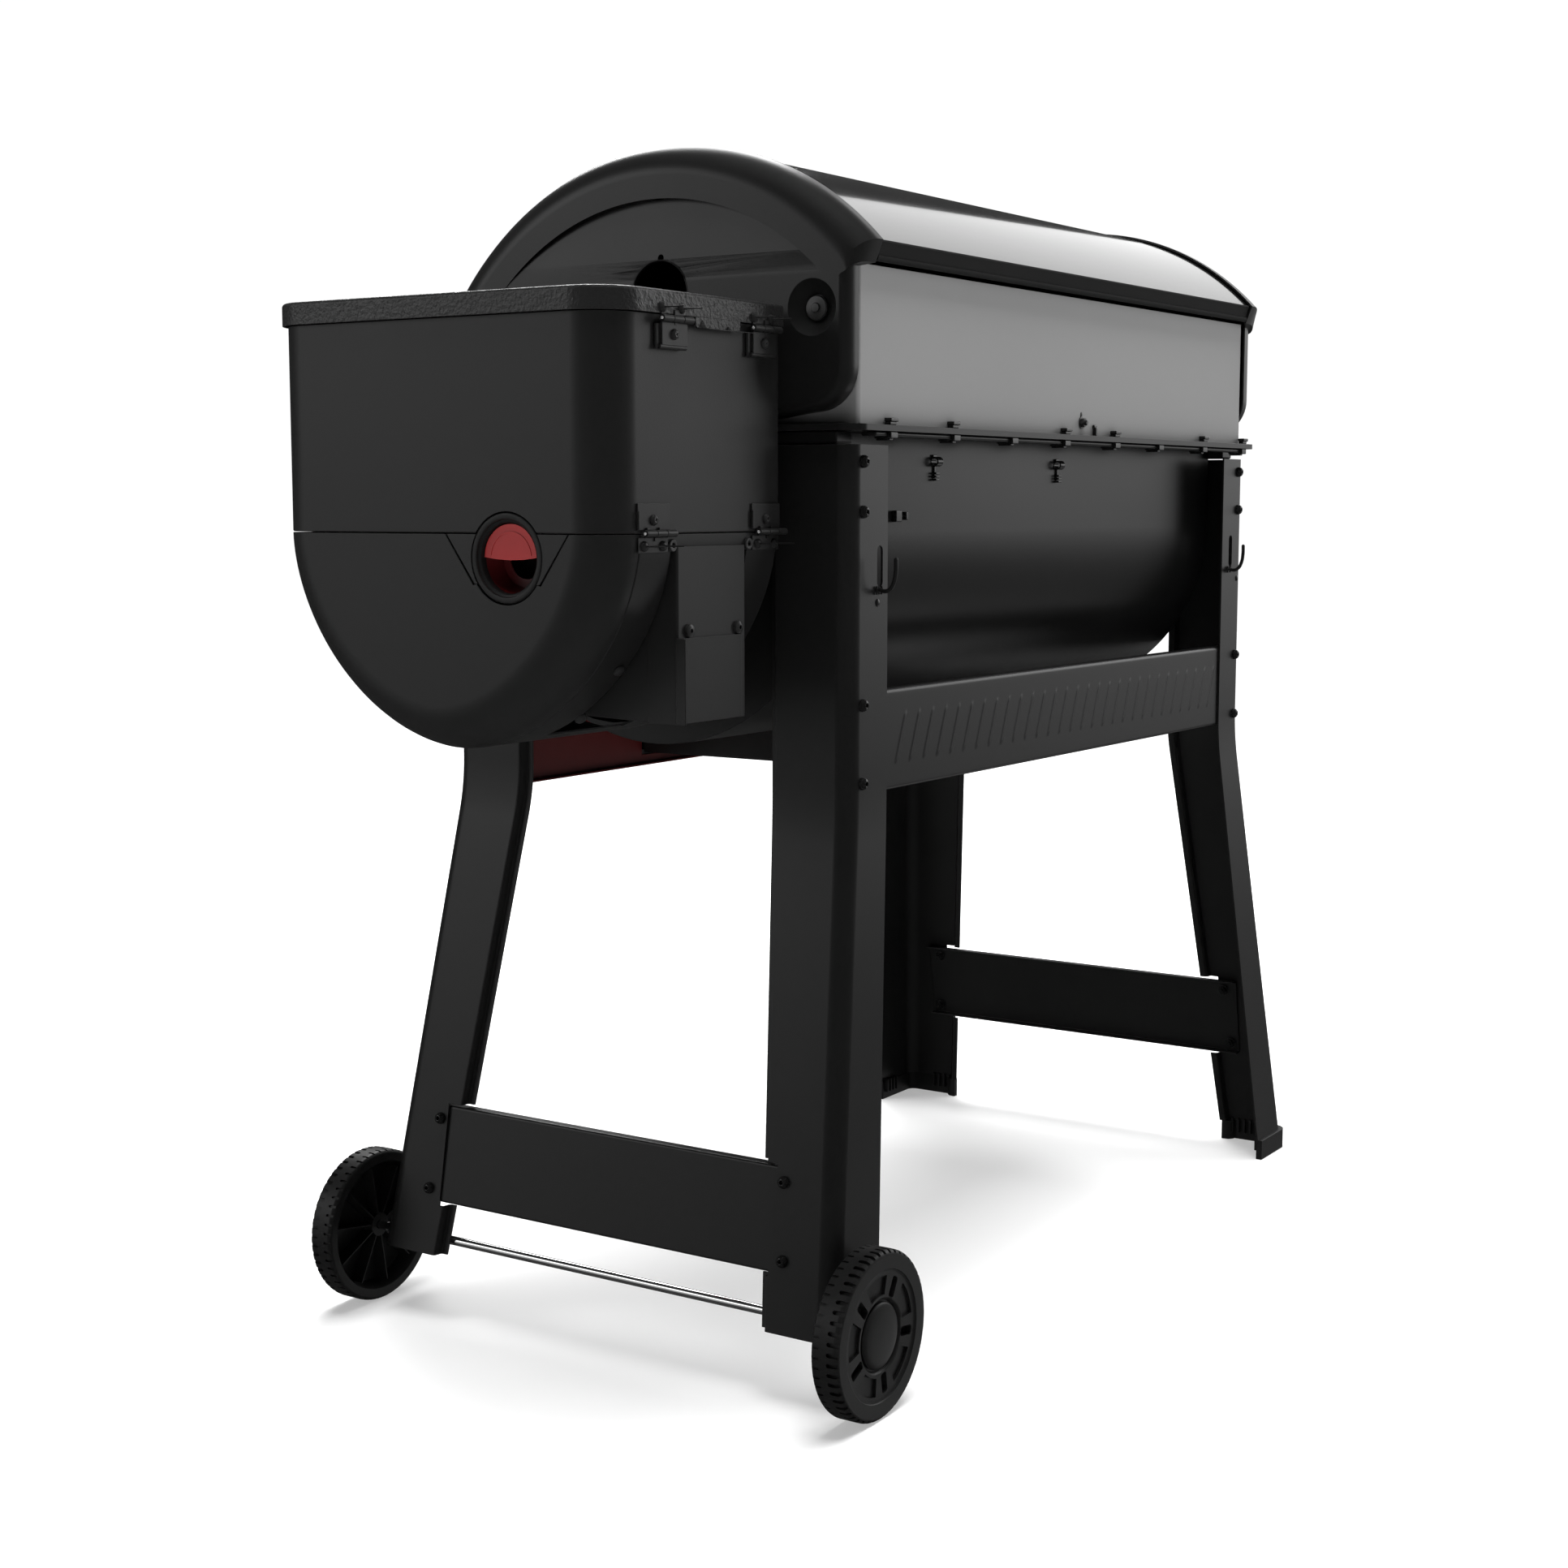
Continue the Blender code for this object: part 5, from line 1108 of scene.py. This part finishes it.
def shroud_hinges(pins):
    """The lower shroud's hinges, and the pins of both pairs."""
    z, wall = SHROUD_HINGE[1], HOP_Y[1]
    near = wall + 0.0003
    nut = [(0.0058, 0.0), (0.0058, 0.0034), (0.0050, 0.0042), (0.0030, 0.0042),
           (0.0026, 0.0040, "hex"), (0.0025, 0.0016, "hex")]
    screws, rivets, nuts = [], [], []
    for index, (x, nut_x) in enumerate(zip(SHROUD_HINGE_X, (0.5714, 0.6907))):
        knuckles = [((x + a, wall + 0.0004, z + 0.0030), (x + b, wall + 0.0036, z + 0.0052), 0.0004)
                    for a, b in ((0.0135, 0.0175), (-0.0045, -0.0005))]
        blocks(f"shroud_hinge_{index + 1}_leaf", HINGE_STEEL, "stand", [
            ((x - 0.0180, near, z + 0.0030), (x + 0.0285, wall + 0.0017, z + 0.0262), 0.0004),
            ((x + 0.0265, near, z + 0.0040), (x + 0.0290, wall + 0.0030, z + 0.0196), 0.0006),
            *knuckles], [barrel(x, SHROUD_HINGE)], [f"shroud_hinge_{index + 1}"])
        blocks(f"shroud_hinge_{index + 1}_lower_leaf", HINGE_STEEL, "shroud", [
            ((x - 0.0160, near, z - 0.0168), (x + 0.0275, wall + 0.0014, z - 0.0034), 0.0004),
            ((x + 0.0035, wall + 0.0004, z - 0.0066), (x + 0.0050, wall + 0.0026, z - 0.0036), 0.0003)])
        screws.append((PAN, (x + 0.0058, wall + 0.0017, 0.8452), BACK, 0.4))
        for side, stem in ((0.0195, 0.0225), (-0.0080, 0.0235)):
            rivets.append((rivet(stem), (x + side, wall + 0.0014, 0.8225), BACK, 0.0))
        nuts.append((nut, (nut_x, wall - 0.0020, 0.8228), BACK, 0.1))
        pin_end(pins, x, SHROUD_HINGE)
    dress(made_of("hinge_pin_ends", pins), LIGHT_STEEL, "stand", bevel=0.0)
    fasteners("shroud_hinge_screws", screws, DARK_STEEL, "stand")
    fasteners("shroud_hinge_rivets", rivets, HINGE_STEEL, "shroud")
    fasteners("chute_top_bolts", nuts, DARK_STEEL, "stand")


def lower_shroud():
    """The round wrap below the seam, with a groove round it and a rounded front edge."""
    groove = HOP_OUT_X - 0.0448
    stops = [(SHROUD_IN_X, 0.0), (groove - 0.0012, 0.0), (groove - 0.0006, 0.0009),
             (groove + 0.0003, 0.0009), (groove + 0.0009, 0.0)]
    stops += [(HOP_OUT_X - HOP_CORNER_R * (1 - math.sin(turn)),
               HOP_CORNER_R * (1 - math.cos(turn))) for turn in quarter(14)]
    rows = [[(x, y, z) for y, z in bowl_profile(inset)] for x, inset in stops]
    shroud = sheet("shroud_wrap", rows, caps=(len(rows) - 1,), inward=False)
    clear = 0.0011
    notch = [
        (PORT_Y - NOTCH_TOP - clear, SEAM_Z + 0.02), (PORT_Y - NOTCH_TOP - clear, SEAM_Z - GAP),
        (PORT_Y - NOTCH_FOOT - clear, NOTCH_Z - clear),
        *arc((PORT_Y, PORT_Z), PORT_RING_R + clear, math.radians(214), math.radians(326), 40),
        (PORT_Y + NOTCH_FOOT + clear, NOTCH_Z - clear),
        (PORT_Y + NOTCH_TOP + clear, SEAM_Z - GAP), (PORT_Y + NOTCH_TOP + clear, SEAM_Z + 0.02),
    ]
    boolean(shroud, plate("notch", "YZ", [notch], HOP_OUT_X - 0.01, HOP_OUT_X + 0.01))
    boolean(shroud, box("cut", (CUTOUT_X[0], CUTOUT_Y, CUTOUT_Z), (CUTOUT_X[1], 0.25, 0.8215)))
    dress(shroud, HOPPER_COAT, "shroud", ["hopper_lower_shroud"], bevel=0.0004)


def port():
    """The hole in the hopper's end: tongue, ring, red half-disc shutter and a throat in darker red as
    painted shade.
    """
    x, hub = HOP_OUT_X, (PORT_Y, PORT_Z)
    foot, top = NOTCH_FOOT - GAP, NOTCH_TOP - GAP
    outline = [(PORT_Y - top, SEAM_Z - GAP), (PORT_Y - foot, NOTCH_Z),
               (PORT_Y + foot, NOTCH_Z), (PORT_Y + top, SEAM_Z - GAP)]
    tongue = plate("port_tongue", "YZ", [outline], x - 0.0022, x - 0.0002)
    boolean(tongue, cylinder("bore", "X", hub, x - 0.02, x + 0.01, PORT_RING_R + 0.0003, 96))
    dress(tongue, HOPPER_COAT, "stand", bevel=0.0003)
    outer, inner = PORT_RING_R, PORT_HOLE_R
    rings = [(inner, x - 0.0100), (outer - 0.0006, x - 0.0100), (outer, x - 0.0090),
             (outer, x - 0.0014), (outer - 0.0006, x - 0.0006), (outer - 0.0018, x - 0.0002),
             (outer - 0.0052, x - 0.0002), (outer - 0.0058, x - 0.0008),
             (outer - 0.0062, x - 0.0024), (inner + 0.0010, x - 0.0030), (inner, x - 0.0040)]
    ring = turned("port_ring", "X", (0.0, *hub), rings, steps=120)
    dress(ring, PLASTIC, "stand", ["port_bezel"], bevel=0.0, sharp=50.0)
    disc = [(PORT_Y - 0.0300, PORT_Z + 0.0006), *arc(hub, 0.0300, math.pi - 0.02, 0.02, 48),
            (PORT_Y + 0.0300, PORT_Z + 0.0006), (PORT_Y + 0.0150, PORT_Z - 0.0012),
            (PORT_Y, PORT_Z - 0.0018), (PORT_Y - 0.0150, PORT_Z - 0.0012)]
    half = plate("shutter_disc", "YZ", [disc], x - 0.0085, x - 0.0064)
    lip = arc(hub, 0.0236, 0.10, math.pi - 0.10, 40) + arc(hub, 0.0222, math.pi - 0.10, 0.10, 40)
    ridge = plate("shutter_ridge", "YZ", [lip], x - 0.0066, x - 0.0059)
    dress(joined("port_shutter_half", [half, ridge]), RED_PLASTIC, "shutter",
          ["port_shutter"], bevel=0.0004)
    # The throat takes the darker red: painted shade inside the port.
    rings = [(inner + 0.0002, x - 0.0098), (inner + 0.0014, x - 0.0098),
             (inner - 0.0030, x - 0.0300), (inner - 0.0120, x - 0.0300),
             (inner - 0.0120, x - 0.0285), (inner - 0.0044, x - 0.0285)]
    throat = turned("port_throat", "X", (0.0, *hub), rings, steps=72)
    dress(throat, RED_PLASTIC_PAINTED_SHADE, "stand", bevel=0.0, sharp=50.0)


def chute():
    """The pellet chute at the hopper's back, with its sliding clean-out door."""
    x0, x1 = CHUTE_X
    inner, bend = CHUTE_Y - CHUTE_DEPTH, 0.0022
    section = [(x0, inner), (x0, CHUTE_Y - bend),
               *arc((x0 + bend, CHUTE_Y - bend), bend, math.pi, math.pi / 2, 5)[1:],
               *arc((x1 - bend, CHUTE_Y - bend), bend, math.pi / 2, 0.0, 5), (x1, inner)]
    body = sheet("chute_trough", along("Z", section, CHUTE_Z), 0.0015, inward=False)
    cheek = [(0.1660, 0.8190), (0.1660, 0.6640), (0.0580, 0.6680), (0.0920, 0.7060),
             (0.1320, 0.7620)]
    sides = [plate("cheek", "YZ", [cheek], *ends) for ends in
             ((x0 + 0.0002, x0 + 0.0014), (x1 - 0.0014, x1 - 0.0002))]
    dress(joined("chute_trough_body", [body, *sides]), HOPPER_COAT, "stand",
          ["pellet_chute"], bevel=0.0003)
    (x0, x1), y, wall, soft = DOOR_X, CHUTE_Y + GAP, 0.0015, 0.0018
    corner = (x1 - wall - soft, y + wall + soft)
    section = [(x0, y), (x0, y + wall), (corner[0], y + wall),
               *arc(corner, soft, -math.pi / 2, 0.0, 5)[1:],
               (x1 - wall, y + 0.0110), (x1, y + 0.0110), (x1, y)]
    door = plate("chute_door_slide", "XY", [section], *DOOR_Z)
    dress(door, HOPPER_COAT, "clean_out_door", ["chute_door"], bevel=0.0005)
    screw = BUTTON[:3] + [(0.0050, 0.0032), (0.0030, 0.0038), (0.0022, 0.0038, "hex"),
                          (0.0021, 0.0016, "hex")]
    spots = [(screw, (x, CHUTE_Y + 0.0001, 0.7466), BACK, 0.2) for x in (0.6683, 0.5912)]
    fasteners("chute_screws", spots, DARK_STEEL, "stand")
    spots = [(DOME, (0.7030, y, z), (0.2, 0.7, -0.7), 0.0)
             for y, z in ((0.1470, 0.7110), (0.1030, 0.6660))]
    fasteners("shroud_rim_buttons", spots, HINGE_STEEL, "shroud")


# ---------------------------------------------------------------- controller and drawer
def controller():
    """The control box with its display, knob and two keys."""
    face = CTRL_Y[0]
    housing = box("controller_case", (CTRL_X[0], face, CTRL_Z[0]), (CTRL_X[1], CTRL_Y[1], CTRL_Z[1]),
                  0.0070, 5)
    for x in (0.5850, 0.6150):
        boolean(housing, cylinder("pocket", "Y", (x, KNOB_Z), face - 0.01, face + 0.0070,
                                  BUTTON_R + GAP, 48))
    boolean(housing, box("screen_pocket", (0.5690, face - 0.01, 0.9240),
                         (0.6910, face + 0.0016, 0.9860)))
    dress(housing, PLASTIC, "stand", ["controller_housing"], bevel=0.0003)
    screen = box("display_window", (0.5700, face - 0.0012, 0.9250),
                 (0.6900, face + 0.0012, 0.9850), 0.0009)
    dress(screen, SCREEN, "stand", ["controller_display"], bevel=0.0)
    radius, centre = KNOB_R, (KNOB_X, face, KNOB_Z)
    rings = [(0.0002, -GAP), (radius, -GAP), (radius, -0.0030), (radius - 0.0012, -0.0042),
             (radius - 0.0016, -0.0150), (radius - 0.0028, -0.0172), (radius - 0.0050, -0.0180),
             (radius - 0.0080, -0.0176), (0.0002, -0.0172)]
    knob = turned("knob_body", "Y", centre, rings, steps=72, closed=False)
    made = bmesh.new()
    for i in range(36):
        bar(made, centre, 2 * math.pi * i / 36, (0.0, -0.0095, radius - 0.0010),
            (0.0009, 0.0100, 0.0014))
    bar(made, centre, 0.0, (0.0, -0.0177, 0.0105), (0.0016, 0.0014, 0.0070))
    dress(joined("knob_body", [knob, made_of("grips", made)]), PLASTIC, "knob",
          ["controller_knob"], bevel=0.0, sharp=40.0)
    radius = BUTTON_R
    rings = [(0.0002, 0.0040), (radius, 0.0040), (radius, -0.0030), (radius - 0.0010, -0.0040),
             (radius - 0.0024, -0.0037), (0.0002, -0.0034)]
    for node, body, x in (("power_button", "power_key", 0.5850),
                          ("mode_button", "mode_key", 0.6150)):
        key = turned(body + "_cap", "Y", (x, face, KNOB_Z), rings, steps=48, closed=False)
        dress(key, RED_PLASTIC, body, [node], bevel=0.0, sharp=50.0)


def drawer():
    x, (y0, y1), (z0, z1) = DRAWER_X, DRAWER_Y, DRAWER_Z
    wall = 0.0020
    blocks("drawer_tray", POWDER, "drawer", [
        ((-x - 0.015, y0 - 0.0030, z0 - 0.010), (x + 0.015, y0, z1 + 0.010), 0.0009),
        ((-0.0450, y0 - 0.0160, z1 + 0.0052), (0.0450, y0 - 0.0010, z1 + 0.0078), 0.0010),
        ((-x, y0, z0), (x, y1, z0 + wall), 0.0),
        ((-x, y0, z0), (-x + wall, y1, z1), 0.0),
        ((x - wall, y0, z0), (x, y1, z1), 0.0),
        ((-x, y1 - wall, z0), (x, y1, z1), 0.0)], nodes=["grease_drawer"])


# ---------------------------------------------------------------- pieces kept from the frame
KEPT = {
    "hopper_bulkhead": POWDER, "hopper_funnel": BARE, "auger_tube": BARE, "auger_screw": BARE,
    "auger_motor": BARE, "fan_housing": PLASTIC, "fan_impeller": BARE, "fire_pot": IRON,
    "igniter_rod": BARE, "heat_diffuser": BARE, "cooking_grate_left": IRON,
    "cooking_grate_right": IRON, "warming_rack": BARE, "drawer_sleeve": POWDER,
    "power_inlet": PLASTIC,
}


def keep_inner_pieces():
    """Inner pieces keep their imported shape, with a finish and softened edges."""
    for name, coat in KEPT.items():
        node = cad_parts[name]
        node.data.materials.clear()
        node.data.materials.append(coat)
        weld = node.modifiers.new("weld", "WELD")
        weld.merge_threshold = 0.00002
        soften(node, 0.0004, 2)


# ---------------------------------------------------------------- studio
def glow(name, levels, ground=None):
    """A light given as (place, strength) pairs up its height, or outwards over a lit ground, where a
    dimmer glow near the middle is a painted shadow.
    """
    made = bpy.data.materials.new(name)
    made.use_nodes = True
    nodes, links = made.node_tree.nodes, made.node_tree.links
    place = nodes.new("ShaderNodeTexCoord")
    if ground is None:
        measure = nodes.new("ShaderNodeSeparateXYZ")
    else:
        measure = nodes.new("ShaderNodeVectorMath")
        measure.operation = "LENGTH"
    links.new(place.outputs["Object"], measure.inputs[0])
    low, high = levels[0][0], levels[-1][0]
    top = max(strength for _, strength in levels)
    across = node_with(nodes, "MapRange", {"From Min": low, "From Max": high})
    links.new(measure.outputs["Z" if ground is None else "Value"], across.inputs["Value"])
    ramp = nodes.new("ShaderNodeValToRGB")
    links.new(across.outputs["Result"], ramp.inputs["Fac"])
    elements = ramp.color_ramp.elements
    while len(elements) < len(levels):
        elements.new(0.5)
    for element, (spot, strength) in zip(elements, levels):
        element.position = (spot - low) / (high - low)
        element.color = (*even(strength / top), 1.0)
    if ground is None:
        nodes.remove(nodes["Principled BSDF"])
        lamp = node_with(nodes, "Emission", {"Strength": top})
        links.new(ramp.outputs["Color"], lamp.inputs["Color"])
        links.new(lamp.outputs["Emission"], nodes["Material Output"].inputs["Surface"])
        return made
    shader = nodes["Principled BSDF"]
    set_inputs(shader, {"Base Color": (*even(ground), 1.0), "Roughness": 1.0,
                        "Specular IOR Level": 0.0, "Emission Strength": top})
    links.new(ramp.outputs["Color"], shader.inputs["Emission Color"])
    return made


def area(name, place, aim, size, power):
    lamp = bpy.data.lights.new(name, "AREA")
    lamp.shape = "RECTANGLE"
    lamp.size, lamp.size_y = size
    lamp.energy = power
    lamp.spread = math.pi
    obj = bpy.data.objects.new(name, lamp)
    obj.location = place
    obj.rotation_euler = (Vector(aim) - Vector(place)).to_track_quat("-Z", "Y").to_euler()
    scene.collection.objects.link(obj)
    return obj


def panel(name, bearing, away, half_width, heights, levels):
    """An upright screen some way off, seen only in reflections and as soft light."""
    turn = math.radians(bearing)
    middle = Vector((math.cos(turn), math.sin(turn), 0.0)) * away
    side = Vector((-math.sin(turn), math.cos(turn), 0.0)) * half_width
    made = bmesh.new()
    corners = [made.verts.new((*(middle + side * s).xy, z))
               for s, z in ((-1, heights[0]), (1, heights[0]), (1, heights[1]), (-1, heights[1]))]
    made.faces.new(corners)
    screen = made_of(name, made, outward=False)
    screen.data.materials.append(glow(name, levels))
    screen.visible_camera = False
    screen.visible_shadow = False
    return screen


def studio():
    """A pale lit floor whose glow is dimmer round the grill as a painted shadow, a bright backdrop for
    the camera alone, screens and two soft boxes.
    """
    world = bpy.data.worlds.new("studio")
    world.use_nodes = True
    set_inputs(world.node_tree.nodes["Background"], {"Color": (*even(1.0), 1.0), "Strength": 0.045})
    scene.world = world
    scene.view_settings.view_transform = "Standard"
    scene.view_settings.look = "None"
    scene.view_settings.exposure = 0.0
    scene.view_settings.gamma = 1.0

    made = bmesh.new()
    bmesh.ops.create_circle(made, cap_ends=True, segments=96, radius=14.0)
    floor = made_of("studio_floor_painted_shadow", made, outward=False)
    floor.location.z = -0.0002
    # The floor's glow rises from 0.37 under the grill to 1.05 far off: a painted shadow of the grill on
    # the floor.
    floor.data.materials.append(
        glow("studio_floor_painted_shadow", [(0.0, 0.37), (1.1, 0.40), (2.2, 1.02), (14.0, 1.05)], ground=0.62))
    floor.visible_glossy = False

    made = bmesh.new()
    bmesh.ops.create_icosphere(made, subdivisions=4, radius=13.5)
    bmesh.ops.reverse_faces(made, faces=made.faces)
    dome = made_of("studio_backdrop", made, outward=False)
    dome.data.materials.append(glow("studio_backdrop", [(-14.0, 1.02), (14.0, 1.02)]))
    for side in ("diffuse", "glossy", "transmission", "volume_scatter", "shadow"):
        setattr(dome, "visible_" + side, False)

    panel("far_high_panel", 190.3, 5.82, 1.00, (1.9, 6.2), [(1.9, 1.2), (6.2, 1.5)])
    panel("back_panel_near", 144.5, 6.0, 0.80, (-3.6, 4.3),
          [(-3.6, 0.9), (-2.4, 0.6), (-1.5, 0.15), (-0.2, 0.2), (0.8, 1.05), (1.2, 1.95),
           (4.3, 2.35)])
    panel("back_panel_far", 166.0, 6.0, 1.50, (-3.6, 4.3),
          [(-3.6, 0.9), (-2.4, 0.6), (-1.5, 0.12), (-0.2, 0.15), (0.8, 0.6), (1.3, 1.0), (2.2, 2.0),
           (4.3, 2.2)])
    panel("end_panel", -41.0, 6.0, 1.60, (-1.4, 4.0),
          [(-1.4, 0.25), (0.6, 0.45), (1.2, 0.62), (2.0, 1.5), (4.0, 1.8)])
    top = area("top_box", (0.0, 0.1, 4.2), (0.0, 0.0, 0.0), (3.2, 3.2), 470.0)
    top.visible_glossy = False
    area("front_high_box", (-2.9, -2.6, 4.2), (0.2, 0.0, 1.0), (2.4, 2.4), 150.0)


stand()
running_gear()
cook_box()
hood()
lid()
end_caps()
hopper_bin()
hopper_lid()
hinges()
lower_shroud()
port()
chute()
controller()
drawer()
keep_inner_pieces()
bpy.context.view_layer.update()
studio()
